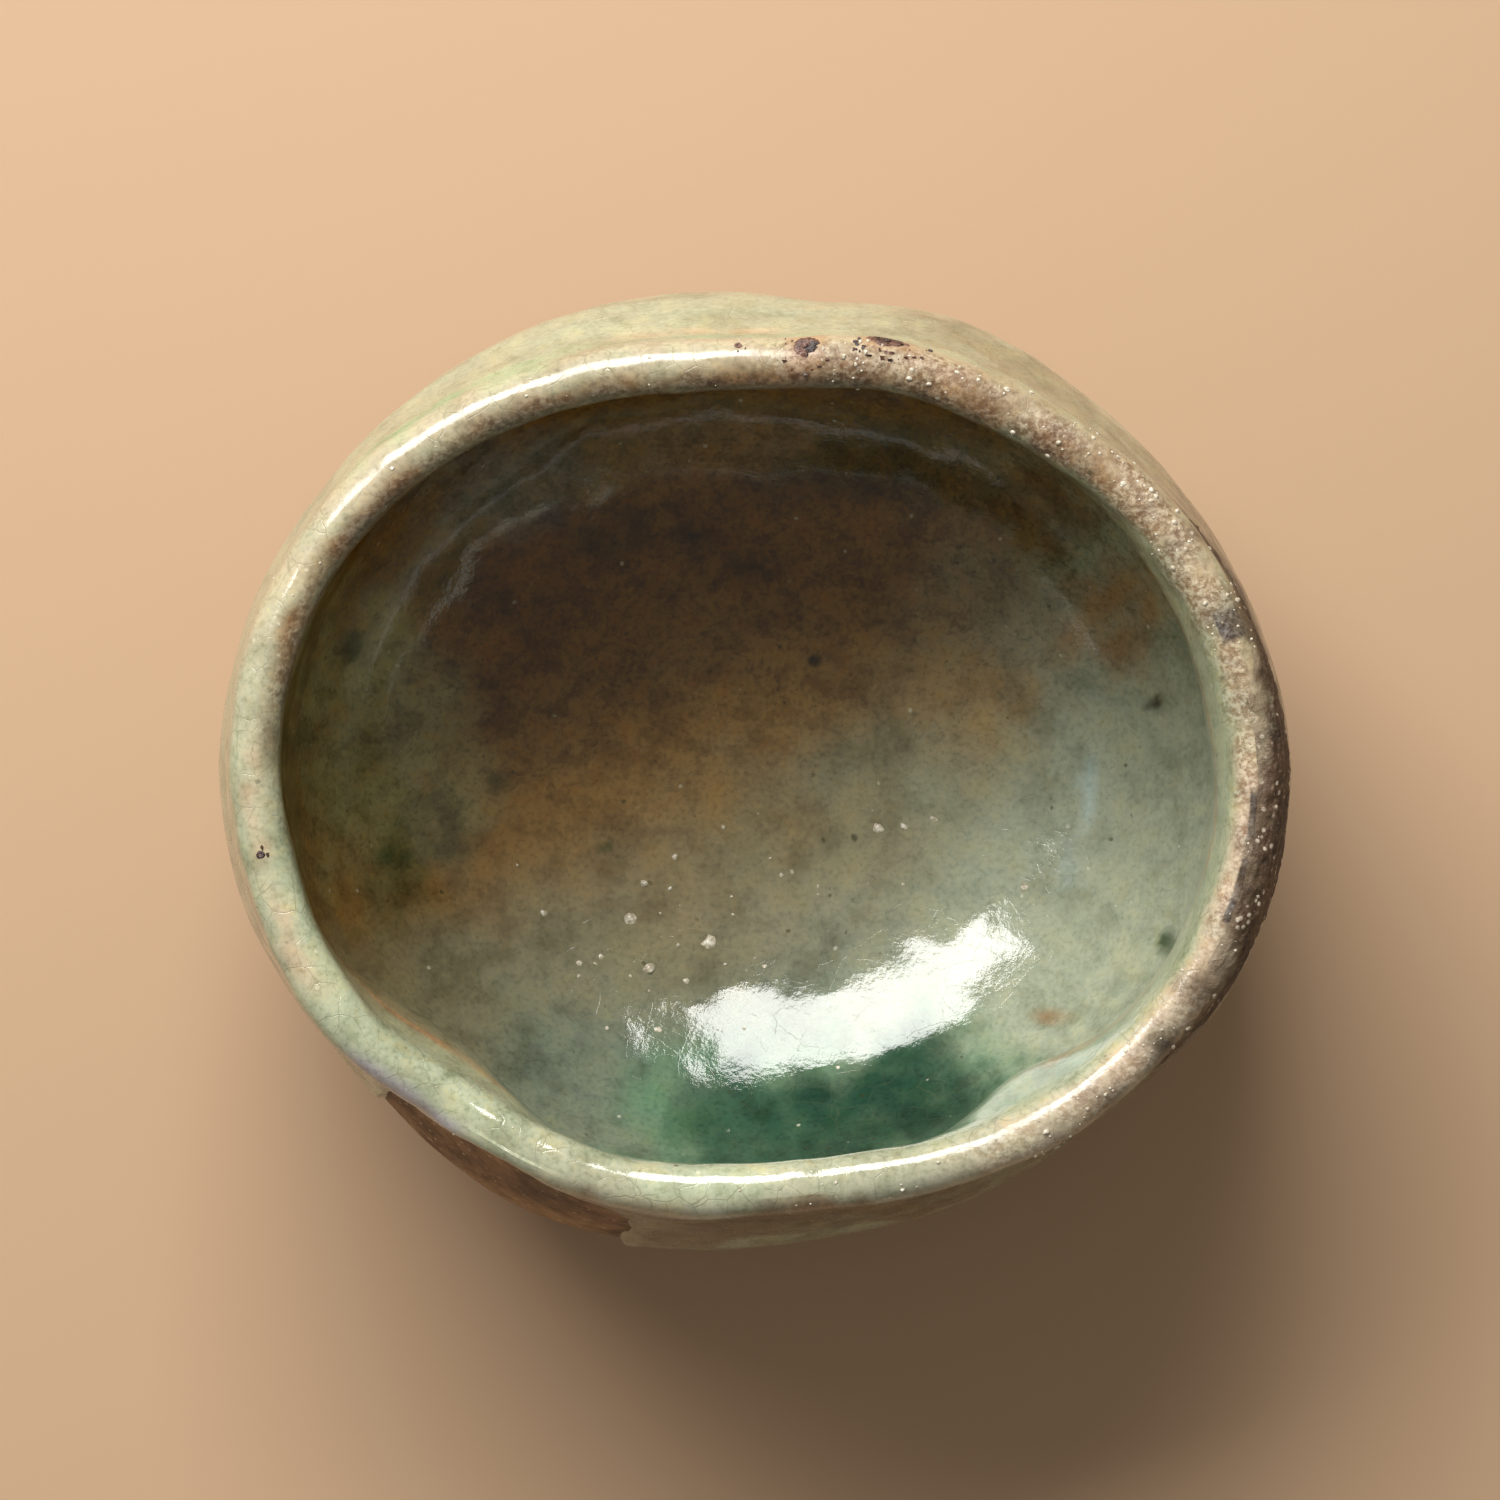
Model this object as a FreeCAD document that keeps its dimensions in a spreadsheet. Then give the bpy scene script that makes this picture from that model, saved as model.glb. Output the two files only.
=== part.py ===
import FreeCAD, Part
import Sketcher
import math
import os
from FreeCAD import Placement, Rotation, Vector

# A hand-formed tea bowl: a thrown body squeezed oval, a foot ring luted under it, three coats of
# ash glaze, and what the kiln left on them. Lengths are millimetres and angles are degrees.
# Azimuth 0 is +X, 90 is the back (+Y) and 270 the front. Z is 0 at the foot.

DIMENSIONS = [
    ("lip_half_length", 60.0, "lip centre line, along X"),
    ("lip_half_depth", 49.3, "lip centre line, along Y"),
    ("lip_height", 76.0, "top of the clay lip before its waves"),
    ("lip_thickness", 4.9, "clay lip, across its round"),
    ("belly_half_length", 65.7, "outside of the clay at its widest, along X"),
    ("belly_half_depth", 58.9, "outside of the clay at its widest, along Y"),
    ("belly_height", 42.0, "height of the widest level"),
    ("wall_thickness", 6.0, "clay wall at the belly"),
    ("underside_radius", 30.0, "flat round of clay that the foot ring is luted to"),
    ("well_radius", 12.0, "flat round in the middle of the floor"),
    ("floor_thickness", 5.5, "clay between the foot's hollow and the floor"),
    ("floor_squareness", 2.3, "2 is an elliptic inside corner, more is squarer"),
    ("hip_squareness", 2.15, "the same for the outside corner above the foot"),
    ("foot_radius", 27.0, "foot ring, outside, where it stands"),
    ("foot_height", 7.0, "foot ring"),
    ("foot_width", 6.0, "foot ring, across its standing face"),
    ("foot_draft", 1.6, "how much wider the ring is where it meets the clay"),
    ("foot_chamfer", 0.9, "worn edges of the standing face"),
    ("glaze_thickness", 0.7, "every coat of glaze"),
    ("glaze_line_turn", 36.0, "where the outer coat ends, as an angle round the outside corner"),
    ("glaze_line_wave", 6.0, "how far that angle wanders"),
    ("finger_mark_azimuth", 237.0, "bare arch left by the fingers that held the bowl"),
    ("finger_mark_width", 34.0, "arch, across"),
    ("finger_mark_gap", 1.5, "arch, from the top of its round up to the lip's height"),
    ("crust_azimuth", 343.0, "middle of the scorched ash crust"),
    ("crust_level", 65.0, "height of that middle"),
    ("crust_half_length", 43.0, "crust, from its middle to its end round the bowl"),
    ("crust_half_height", 15.0, "crust, from its middle to its lower edge"),
    ("crust_edge", 0.2, "crust thickness along its border"),
    ("crust_thickness", 0.6, "crust thickness in its middle, above its border"),
    ("pool_azimuth", 281.0, "middle of the pooled green glass"),
    ("pool_level", 27.0, "height of that middle"),
    ("pool_half_length", 20.0, "pool, from its middle to its end round the bowl"),
    ("pool_half_height", 9.0, "pool, from its middle to its lower edge"),
    ("pool_edge", 0.2, "pool thickness along its border"),
    ("pool_thickness", 1.2, "pool thickness in its middle, above its border"),
    ("outline_depth", 27.0, "how deep the outlines of crust and pool cut through their layers"),
    ("spot_rise", 0.3, "how proud the iron spots stand"),
    ("grain_radius", 0.95, "feldspar grain"),
]

# Each push moves the wall in or out round one place: azimuth, height, spread round the bowl in
# degrees, spread in height, and how far the outside and the inside move outwards.
PUSH_FIELDS = ("azimuth", "level", "spread", "rise", "outside", "inside")
PUSHES = {
    "front_left_bulge": (243.0, 39.0, 22.0, 22.0, 2.7, 1.4),
    "front_right_flat": (287.0, 44.0, 12.0, 24.0, -0.8, -0.5),
    "right_front_flat": (314.0, 44.0, 14.0, 30.0, -1.7, -1.2),
    "right_front_thumb": (309.0, 57.0, 9.0, 11.0, -1.2, -4.2),
    "right_ridge": (2.0, 58.0, 34.0, 15.0, 0.0, -2.8),
    "right_back_flat": (30.0, 46.0, 18.0, 26.0, -0.7, -0.5),
    "back_right_bulge": (66.0, 46.0, 14.0, 26.0, 1.2, 0.8),
    "back_dimple": (84.0, 50.0, 6.0, 18.0, -1.2, -0.6),
    "back_left_bulge": (121.0, 44.0, 28.0, 24.0, 1.9, 1.8),
    "left_cheek": (182.0, 48.0, 24.0, 24.0, 1.1, 0.6),
    "left_front_nick": (202.0, 57.0, 6.0, 12.0, 0.0, 1.3),
    "left_front_fold": (221.0, 57.0, 15.0, 12.0, -3.0, -5.8),
}

# Each bend moves the lip round one azimuth: azimuth, spread, outwards, upwards.
BEND_FIELDS = ("azimuth", "spread", "outward", "upward")
BENDS = {
    "right_bend": (10.0, 20.0, -1.1, 0.9),
    "right_back_bend": (42.0, 18.0, 0.2, -1.0),
    "back_right_bend": (72.0, 12.0, 0.9, 0.2),
    "back_bend": (92.0, 15.0, -1.1, 1.2),
    "back_left_bend": (144.0, 30.0, 1.9, -1.0),
    "left_bend": (211.0, 13.0, 1.4, 0.9),
    "left_front_step": (226.0, 7.0, -0.3, -1.2),
    "front_left_bend": (250.0, 19.0, 1.7, 0.4),
    "front_bend": (272.0, 12.0, 0.0, 0.8),
    "right_front_bend": (308.0, 20.0, 1.4, -0.6),
}

RIBS = 72
SECTORS = 24
STEP = 360.0 / RIBS
DEGREE = 3

# A rib runs from under the bowl up the outside, over the lip and down to the middle of the floor.
CORNER_TURNS = (14.0, 28.0, 42.0, 56.0, 70.0, 84.0)
WALL_SHARES = (0.14, 0.36, 0.58, 0.8)
LIP_TILTS = (0.0, 36.0, 72.0, 108.0, 144.0, 180.0)
STATIONS = (
    [("underside", 0), ("underside", 1)]
    + [("outer_corner", turn) for turn in CORNER_TURNS]
    + [("outer_wall", share) for share in WALL_SHARES]
    + [("lip", tilt) for tilt in LIP_TILTS]
    + [("inner_wall", share) for share in reversed(WALL_SHARES)]
    + [("inner_corner", turn) for turn in reversed(CORNER_TURNS)]
    + [("floor", 1), ("floor", 0)]
)
FLAT_RING = 2.5

# The outer coat ends on this turn of the outside corner, and the turns beside it follow its wave.
GLAZE_LINE_STATION = 3
LINE_FOLLOW = {1: 0.3, 2: 0.7, 3: 1.0, 4: 0.7, 5: 0.3}

# A cubic skin lies inside the points of a round, by this share when they are 36 degrees apart.
SPLINE_PULL = (2.0 + math.cos(math.radians(36.0))) / 3.0
SEW_GAP = 0.001

# Iron spots on the lip: azimuth, tilt on the lip's round, half length and half width.
IRON_SPOTS = (
    (84.0, 66.0, 1.5, 1.3),
    (73.5, 42.0, 2.4, 1.2),
    (93.0, 60.0, 0.4, 0.35),
    (189.5, 84.0, 0.5, 0.45),
)
FELDSPAR_GRAINS = 24
GRAIN_SHAPE = (0.55, 0.9, 1.15)


def fill_sheet(doc):
    """Writes every driving dimension to the sheet, one alias to a row."""
    sheet = doc.addObject("Spreadsheet::Sheet", "Dimensions")
    rows = list(DIMENSIONS)
    for table, fields in ((PUSHES, PUSH_FIELDS), (BENDS, BEND_FIELDS)):
        for name, values in table.items():
            rows += [(f"{name}_{field}", value, name) for field, value in zip(fields, values)]
    for number, (alias, value, note) in enumerate(rows, start=1):
        sheet.set(f"A{number}", alias)
        sheet.set(f"B{number}", str(value))
        sheet.set(f"C{number}", note)
        sheet.setAlias(f"B{number}", alias)
    doc.recompute()
    return {alias: float(sheet.get(alias)) for alias, _, _ in rows}


# ---- the form -------------------------------------------------------------------------------

def swell(distance, spread):
    return math.exp(-((distance / spread) ** 2))


def turn_to(azimuth, centre):
    """The signed angle from centre to azimuth, the short way round."""
    return (azimuth - centre + 180.0) % 360.0 - 180.0


def oval(azimuth, half_length, half_depth):
    c, s = math.cos(math.radians(azimuth)), math.sin(math.radians(azimuth))
    return half_length * half_depth / math.hypot(half_depth * c, half_length * s)


def lip_centre(size, azimuth):
    """Radius and height of the middle of the clay lip's round."""
    radius = oval(azimuth, size["lip_half_length"], size["lip_half_depth"])
    top = size["lip_height"]
    for name in BENDS:
        near = swell(turn_to(azimuth, size[f"{name}_azimuth"]), size[f"{name}_spread"])
        radius += size[f"{name}_outward"] * near
        top += size[f"{name}_upward"] * near
    return radius, top - size["lip_thickness"] / 2.0


def pushed(size, azimuth, level, side):
    """How far the wall's outside or inside is moved outwards at one place."""
    total = 0.0
    for name in PUSHES:
        round_it = swell(turn_to(azimuth, size[f"{name}_azimuth"]), size[f"{name}_spread"])
        up_it = swell(level - size[f"{name}_level"], size[f"{name}_rise"])
        total += size[f"{name}_{side}"] * round_it * up_it
    return total


def corner(turn, squareness, foot, belly):
    """A point on the round from a flat bottom, foot, up to the belly, both (radius, level)."""
    across = math.sin(math.radians(turn)) ** (2.0 / squareness)
    down = math.cos(math.radians(turn)) ** (2.0 / squareness)
    return foot[0] + (belly[0] - foot[0]) * across, belly[1] - (belly[1] - foot[1]) * down


def wall(share, belly, lip):
    ease = share * share * (3.0 - 2.0 * share)
    return belly[0] + (lip[0] - belly[0]) * ease, belly[1] + (lip[1] - belly[1]) * share


def glaze_line_turn(size, azimuth):
    """The outer coat's lower edge, as an angle round the outside corner."""
    a = math.radians(azimuth)
    wave = 0.6 * math.sin(3.0 * a + 0.7) + 0.4 * math.sin(5.0 * a + 1.9)
    return size["glaze_line_turn"] + size["glaze_line_wave"] * wave


def rib(size, azimuth):
    """The clay's rib at one azimuth: a (radius, level) for each station."""
    lip_radius, lip_level = lip_centre(size, azimuth)
    round_radius = size["lip_thickness"] / 2.0
    belly_radius = oval(azimuth, size["belly_half_length"], size["belly_half_depth"])
    belly = (belly_radius, size["belly_height"])
    inner_belly = (belly_radius - size["wall_thickness"], size["belly_height"])
    foot = (size["underside_radius"], size["foot_height"])
    well = (size["well_radius"], size["foot_height"] + size["floor_thickness"])
    line_shift = glaze_line_turn(size, azimuth) - CORNER_TURNS[GLAZE_LINE_STATION - 1]
    points = []
    for number, (kind, at) in enumerate(STATIONS):
        if kind == "underside":
            point = (foot[0] - FLAT_RING * (1 - at), foot[1])
        elif kind == "floor":
            point = (well[0] - FLAT_RING * (1 - at), well[1])
        elif kind == "outer_corner":
            turn = at + line_shift * LINE_FOLLOW.get(number - 1, 0.0)
            point = corner(turn, size["hip_squareness"], foot, belly)
        elif kind == "inner_corner":
            point = corner(at, size["floor_squareness"], well, inner_belly)
        elif kind == "outer_wall":
            point = wall(at, belly, (lip_radius + round_radius, lip_level))
        elif kind == "inner_wall":
            point = wall(at, inner_belly, (lip_radius - round_radius, lip_level))
        else:
            tilt = math.radians(at)
            reach = round_radius / SPLINE_PULL
            point = (lip_radius + reach * math.cos(tilt), lip_level + reach * math.sin(tilt))
        side = "outside" if kind.startswith("outer") else "inside"
        move = 0.0
        if kind.split("_")[0] in ("outer", "inner"):
            flat_level = foot[1] if side == "outside" else well[1]
            fade = min(1.0, (point[1] - flat_level) / (0.4 * (belly[1] - flat_level)))
            move = pushed(size, azimuth, point[1], side) * fade
        points.append((point[0] + move, point[1]))
    return points


def coated(points, thickness):
    """The same rib with a coat on it. thickness gives the coat at each station's number."""
    result = []
    for number, (radius, level) in enumerate(points):
        before, after = points[max(number - 1, 0)], points[min(number + 1, len(points) - 1)]
        along = (after[0] - before[0], after[1] - before[1])
        length = math.hypot(*along)
        coat = thickness(number)
        result.append((radius + along[1] / length * coat, level - along[0] / length * coat))
    return result


def skin(size, thickness):
    """The periodic surface through every rib. thickness(azimuth, station number) is its coat."""
    poles = []
    for number in range(RIBS):
        azimuth = number * STEP
        c, s = math.cos(math.radians(azimuth)), math.sin(math.radians(azimuth))
        points = coated(rib(size, azimuth), lambda station: thickness(azimuth, station))
        poles.append([Vector(radius * c, radius * s, level) for radius, level in points])
    rows = len(STATIONS)
    surface = Part.BSplineSurface()
    surface.buildFromPolesMultsKnots(
        poles,
        [1] * (RIBS + 1),
        [DEGREE + 1] + [1] * (rows - DEGREE - 1) + [DEGREE + 1],
        list(range(RIBS + 1)),
        list(range(rows - DEGREE + 1)),
        True,
        False,
        DEGREE,
        DEGREE,
    )
    return surface


def at_azimuth(azimuth):
    return azimuth / STEP - 1.0


def at_station(kind, at):
    """The surface's parameter along a rib beside one station."""
    last = len(STATIONS) - DEGREE
    return min(max(STATIONS.index((kind, at)) - 1.0, 0.0), float(last))


# ---- solids between skins -------------------------------------------------------------------

def closed_solid(faces):
    """One solid from faces that meet along their borders."""
    shell = Part.makeShell(faces)
    shell.sewShape(SEW_GAP)
    solid = Part.makeSolid(shell.Shells[0] if shell.ShapeType != "Shell" else shell)
    if solid.Volume < 0:
        solid.reverse()
    return solid


def sectors():
    """The stretches of a skin that a coat's faces are made in, so that none goes right round."""
    return [(RIBS * k / SECTORS, RIBS * (k + 1) / SECTORS) for k in range(SECTORS)]


def disc(surface, station):
    curve = surface.vIso(station)
    return Part.Face(Part.Wire([curve.toShape(*sector) for sector in sectors()]))


def body_solid(surface):
    """The clay: its whole skin, closed by the flats under the foot and in the well."""
    last = surface.bounds()[3]
    faces = [surface.toShape(*sector, 0, last) for sector in sectors()]
    return closed_solid(faces + [disc(surface, 0), disc(surface, last)])


def ring_coat(lower, upper, start, end, floor=False):
    """The solid between two skins all the way round, from one station to another."""
    faces = []
    for sector in sectors():
        faces += [skin_.toShape(*sector, start, end) for skin_ in (lower, upper)]
        for stop in [start] if floor else [start, end]:
            edges = [skin_.vIso(stop).toShape(*sector) for skin_ in (lower, upper)]
            faces.append(Part.makeRuledSurface(*edges))
    if floor:
        faces += [disc(lower, end), disc(upper, end)]
    return closed_solid(faces)


def patch_coat(lower, upper, from_azimuth, to_azimuth, start, end):
    """The solid between two skins over a stretch of the wall."""
    u1, u2 = at_azimuth(from_azimuth), at_azimuth(to_azimuth)
    faces = []
    for skin_ in (lower, upper):
        faces.append(skin_.toShape(u1, u2, start, end))
    for stop in (start, end):
        curves = [skin_.vIso(stop) for skin_ in (lower, upper)]
        faces.append(Part.makeRuledSurface(*[curve.toShape(u1, u2) for curve in curves]))
    for stop in (u1, u2):
        curves = [skin_.uIso(stop % RIBS) for skin_ in (lower, upper)]
        faces.append(Part.makeRuledSurface(*[curve.toShape(start, end) for curve in curves]))
    return closed_solid(faces)


def mound(size, name, sweep, first, last):
    """The coat under a deposit: as thick as the glaze, and thickest in the deposit's middle."""
    middle, reach = (first + last) / 2.0, (last - first) / 2.0

    def thickness(azimuth, station):
        side = turn_to(azimuth, size[f"{name}_azimuth"]) / (sweep / 2.0)
        along = (station - 1.0 - middle) / reach
        if abs(side) > 1.3 or abs(along) > 1.6:
            return size["glaze_thickness"]
        heap = max(0.0, 1.0 - side * side) * max(0.0, 1.0 - along * along)
        return size["glaze_thickness"] + size[f"{name}_edge"] + size[f"{name}_thickness"] * heap

    return thickness


# ---- the document ---------------------------------------------------------------------------

def add_shape(doc, name, shape, place):
    """A freeform sub-part, with its place set after its shape."""
    feature = doc.addObject("Part::Feature", name)
    feature.Label = name
    feature.Shape = shape
    feature.Placement = place
    return feature


def make_foot_ring(doc, place):
    """The foot ring, turned about the Z axis from one sketch of its section."""
    body = doc.addObject("PartDesign::Body", "foot_ring")
    body.Label = "foot_ring"
    origin = {feature.Role: feature for feature in body.Origin.OriginFeatures}
    sketch = body.newObject("Sketcher::SketchObject", "foot_section")
    sketch.AttachmentSupport = [(origin["XZ_Plane"], "")]
    sketch.MapMode = "FlatFace"
    corners = [Vector(21, 0, 0), Vector(27, 0, 0), Vector(28.6, 7, 0), Vector(19.4, 7, 0)]
    for number, corner_ in enumerate(corners):
        sketch.addGeometry(Part.LineSegment(corner_, corners[(number + 1) % 4]), False)
    for number in range(4):
        sketch.addConstraint(
            Sketcher.Constraint("Coincident", number, 2, (number + 1) % 4, 1)
        )
    sketch.addConstraint(Sketcher.Constraint("PointOnObject", 0, 1, -1))
    sketch.addConstraint(Sketcher.Constraint("Horizontal", 0))
    sketch.addConstraint(Sketcher.Constraint("Horizontal", 2))
    driven = [
        (("DistanceX", -1, 1, 0, 2, 27.0), "Dimensions.foot_radius"),
        (("DistanceX", 0, 1, 0, 2, 6.0), "Dimensions.foot_width"),
        (("DistanceY", 0, 2, 1, 2, 7.0), "Dimensions.foot_height"),
        (("DistanceX", 0, 2, 1, 2, 1.6), "Dimensions.foot_draft"),
        (("DistanceX", 2, 2, 0, 1, 1.6), "Dimensions.foot_draft"),
    ]
    for constraint, source in driven:
        number = sketch.addConstraint(Sketcher.Constraint(*constraint))
        sketch.setExpression(f"Constraints[{number}]", source)
    turned = body.newObject("PartDesign::Revolution", "foot_turned")
    turned.Profile = sketch
    turned.ReferenceAxis = (sketch, ["V_Axis"])
    turned.Angle = 360.0
    doc.recompute()
    worn = body.newObject("PartDesign::Chamfer", "foot_worn_edges")
    standing = [
        f"Edge{number}"
        for number, edge in enumerate(turned.Shape.Edges, start=1)
        if abs(edge.BoundBox.ZMax) < 1e-6
    ]
    worn.Base = (turned, standing)
    worn.Size = 0.9
    worn.setExpression("Size", "Dimensions.foot_chamfer")
    body.Placement = place
    return body


def make_finger_mark(doc, size, place):
    """The arch of bare clay, as a block that is cut out of the outer coat."""
    sketch = doc.addObject("Sketcher::SketchObject", "finger_mark_outline")
    radius, top = 17.0, 57.5
    sketch.addGeometry(Part.LineSegment(Vector(-radius, 0, 0), Vector(radius, 0, 0)), False)
    sketch.addGeometry(Part.LineSegment(Vector(radius, 0, 0), Vector(radius, top, 0)), False)
    arch = Part.Circle(Vector(0, top, 0), Vector(0, 0, 1), radius)
    sketch.addGeometry(Part.ArcOfCircle(arch, 0.0, math.pi), False)
    sketch.addGeometry(Part.LineSegment(Vector(-radius, top, 0), Vector(-radius, 0, 0)), False)
    for first, first_end, second, second_end in ((0, 2, 1, 1), (3, 2, 0, 1)):
        sketch.addConstraint(
            Sketcher.Constraint("Coincident", first, first_end, second, second_end)
        )
    sketch.addConstraint(Sketcher.Constraint("Tangent", 1, 2, 2, 1))
    sketch.addConstraint(Sketcher.Constraint("Tangent", 2, 2, 3, 1))
    sketch.addConstraint(Sketcher.Constraint("Symmetric", 0, 1, 0, 2, -1, 1))
    sketch.addConstraint(Sketcher.Constraint("Horizontal", 0))
    sketch.addConstraint(Sketcher.Constraint("Vertical", 1))
    sketch.addConstraint(Sketcher.Constraint("Vertical", 3))
    width = sketch.addConstraint(Sketcher.Constraint("DistanceX", 0, 1, 0, 2, 34.0))
    sketch.setExpression(f"Constraints[{width}]", "Dimensions.finger_mark_width")
    reach = sketch.addConstraint(Sketcher.Constraint("DistanceY", -1, 1, 2, 3, top))
    sketch.setExpression(
        f"Constraints[{reach}]",
        "Dimensions.lip_height - Dimensions.finger_mark_gap - Dimensions.finger_mark_width / 2",
    )
    azimuth = math.radians(size["finger_mark_azimuth"])
    outward = Vector(math.cos(azimuth), math.sin(azimuth), 0)
    across = Vector(math.sin(azimuth), -math.cos(azimuth), 0)
    turn = Rotation(across.negative(), Vector(0, 0, 1), outward, "ZXY")
    sketch.Placement = Placement(outward * (size["lip_half_depth"] * 0.5), turn)
    block = doc.addObject("Part::Extrusion", "finger_mark")
    block.Base = sketch
    block.DirMode = "Normal"
    block.LengthFwd = 60.0
    block.setExpression("LengthFwd", "Dimensions.belly_half_length")
    block.Solid = True
    block.Placement = place
    return block


def cut_from(doc, name, base, tool):
    cut = doc.addObject("Part::Cut", name)
    cut.Base = base
    cut.Tool = tool
    cut.Label = name
    return cut


def blob(doc, name, surface, azimuth, station, radii, place):
    """An ellipsoid whose middle lies on the glaze. radii is outwards, round the bowl and up."""
    u = at_azimuth(azimuth) % RIBS
    centre, normal = surface.value(u, station), surface.normal(u, station)
    along = Vector(-math.sin(math.radians(azimuth)), math.cos(math.radians(azimuth)), 0)
    turn = Rotation(along, normal.cross(along), normal, "ZXY")
    lump = doc.addObject("Part::Ellipsoid", name)
    lump.Radius1, lump.Radius2, lump.Radius3 = radii
    lump.Placement = place.multiply(Placement(centre, turn))
    return lump


def group(doc, name, pieces):
    compound = doc.addObject("Part::Compound", name)
    compound.Links = pieces
    return compound


def make_deposit(doc, size, name, kind, glaze, sweep, stations, radius, place):
    """A lens of melted ash on the glaze: a thick layer, kept only inside an ellipsoid."""
    first, last = (at_station(*station) for station in stations)
    ends = [size[f"{kind}_azimuth"] + sweep * side / 2.0 for side in (-1.0, 1.0)]
    top = skin(size, mound(size, kind, sweep, first, last))
    layer_shape = patch_coat(glaze, top, *ends, first, last)
    layer = add_shape(doc, f"{kind}_layer", layer_shape, place)
    azimuth = math.radians(size[f"{kind}_azimuth"])
    outward = Vector(math.cos(azimuth), math.sin(azimuth), 0)
    centre = outward * radius + Vector(0, 0, size[f"{kind}_level"])
    outline = doc.addObject("Part::Ellipsoid", f"{kind}_outline")
    outline.setExpression("Radius1", f"Dimensions.{kind}_half_height")
    outline.setExpression("Radius2", "Dimensions.outline_depth")
    outline.setExpression("Radius3", f"Dimensions.{kind}_half_length")
    turn = Rotation(Vector(0, 0, 1), size[f"{kind}_azimuth"])
    outline.Placement = place.multiply(Placement(centre, turn))
    common = doc.addObject("Part::Common", name)
    common.Label = name
    common.Base = layer
    common.Tool = outline
    return common


def make_iron_spots(doc, glaze, coats, place):
    """Spots where iron melted through the glaze, seated on the lip."""
    lumps = []
    for number, (azimuth, tilt, along, across) in enumerate(IRON_SPOTS, start=1):
        station = at_station("lip", 0.0) + tilt / LIP_TILTS[1]
        name = f"iron_spot_{number}"
        lump = blob(doc, name, glaze, azimuth, station, (along, along, across), place)
        lump.setExpression("Radius1", "Dimensions.spot_rise")
        lumps.append(lump)
    seated = group(doc, "iron_lumps", lumps)
    for coat in coats:
        name = "iron_spots" if coat is coats[-1] else f"iron_lumps_off_{coat.Label}"
        seated = cut_from(doc, name, seated, coat)
    return seated


def make_feldspar_grains(doc, glaze, coat, place):
    """White feldspar grains that stand out of the lip's glaze, all of them on the right."""
    first, last = at_station("lip", 72.0) + 0.35, at_station("lip", 144.0)
    lumps = []
    for number in range(FELDSPAR_GRAINS):
        azimuth = -68.0 + 142.0 * ((number * 0.618) % 1.0)
        station = first + (last - first) * ((number * 0.755 + 0.2) % 1.0)
        share = 0.7 + 0.3 * math.cos(number * 2.4)
        name = f"grain_{number + 1}"
        lump = blob(doc, name, glaze, azimuth, station, GRAIN_SHAPE, place)
        for axis, stretch in enumerate(GRAIN_SHAPE, start=1):
            rule = f"Dimensions.grain_radius * {stretch * share:.3f}"
            lump.setExpression(f"Radius{axis}", rule)
        lumps.append(lump)
    return cut_from(doc, "feldspar_grains", group(doc, "grain_lumps", lumps), coat)


def bare_station(size):
    return at_station("outer_corner", CORNER_TURNS[GLAZE_LINE_STATION - 1])


def build():
    doc = FreeCAD.newDocument("matcha_bowl")
    size = fill_sheet(doc)
    clay = skin(size, lambda azimuth, station: 0.0)
    glaze = skin(size, lambda azimuth, station: size["glaze_thickness"])
    box = glaze.toShape(0, RIBS, 0, glaze.bounds()[3]).optimalBoundingBox(False)
    place = Placement(Vector(-box.Center.x, -box.Center.y, 0), Rotation())

    line = bare_station(size)
    lip_outside, lip_inside = at_station("lip", 0.0), at_station("lip", 180.0)
    floor = glaze.bounds()[3]
    parts = [
        add_shape(doc, "clay_body", body_solid(clay), place),
        make_foot_ring(doc, place),
        add_shape(doc, "inside_glaze", ring_coat(clay, glaze, lip_inside, floor, True), place),
    ]
    lip = add_shape(doc, "lip_glaze", ring_coat(clay, glaze, lip_outside, lip_inside), place)
    dipped = add_shape(doc, "dipped_coat", ring_coat(clay, glaze, line, lip_outside), place)
    outside = cut_from(doc, "outside_glaze", dipped, make_finger_mark(doc, size, place))
    parts += [lip, outside]

    crust_stations = (("outer_wall", WALL_SHARES[0]), ("lip", 72.0))
    pool_stations = (("inner_corner", CORNER_TURNS[5]), ("inner_corner", CORNER_TURNS[1]))
    crust_reach, pool_reach = size["lip_half_length"], size["lip_half_depth"]
    parts += [
        make_deposit(doc, size, "ash_crust", "crust", glaze, 96.0, crust_stations, crust_reach, place),
        make_deposit(doc, size, "green_glass_pool", "pool", glaze, 60.0, pool_stations, pool_reach, place),
        make_iron_spots(doc, glaze, (lip, outside), place),
        make_feldspar_grains(doc, glaze, lip, place),
    ]
    doc.recompute()
    return doc, parts


def check_and_write(doc, parts):
    """Stops on anything that failed, and writes each sub-part to parts/."""
    for item in doc.Objects:
        if {"Invalid", "Error"} & set(item.State):
            raise RuntimeError(f"{item.Name} failed: {item.State}")
    os.makedirs("parts", exist_ok=True)
    for part in parts:
        shape = part.Shape
        if shape.isNull() or not shape.isValid() or not shape.Solids or shape.Volume <= 0:
            raise RuntimeError(f"{part.Label} isn't a valid solid")
        shape.exportStep(f"parts/{part.Label}.step")
        box = shape.optimalBoundingBox(False)
        print(
            f"{part.Label}: {len(shape.Solids)} solids, {shape.Volume:.1f} mm3, "
            f"{box.XMin:.2f}..{box.XMax:.2f} {box.YMin:.2f}..{box.YMax:.2f} "
            f"{box.ZMin:.2f}..{box.ZMax:.2f}"
        )


document, subparts = build()
check_and_write(document, subparts)
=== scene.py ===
import math
import random

import bmesh
import bpy
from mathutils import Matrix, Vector, noise
from mathutils.bvhtree import BVHTree


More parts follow.
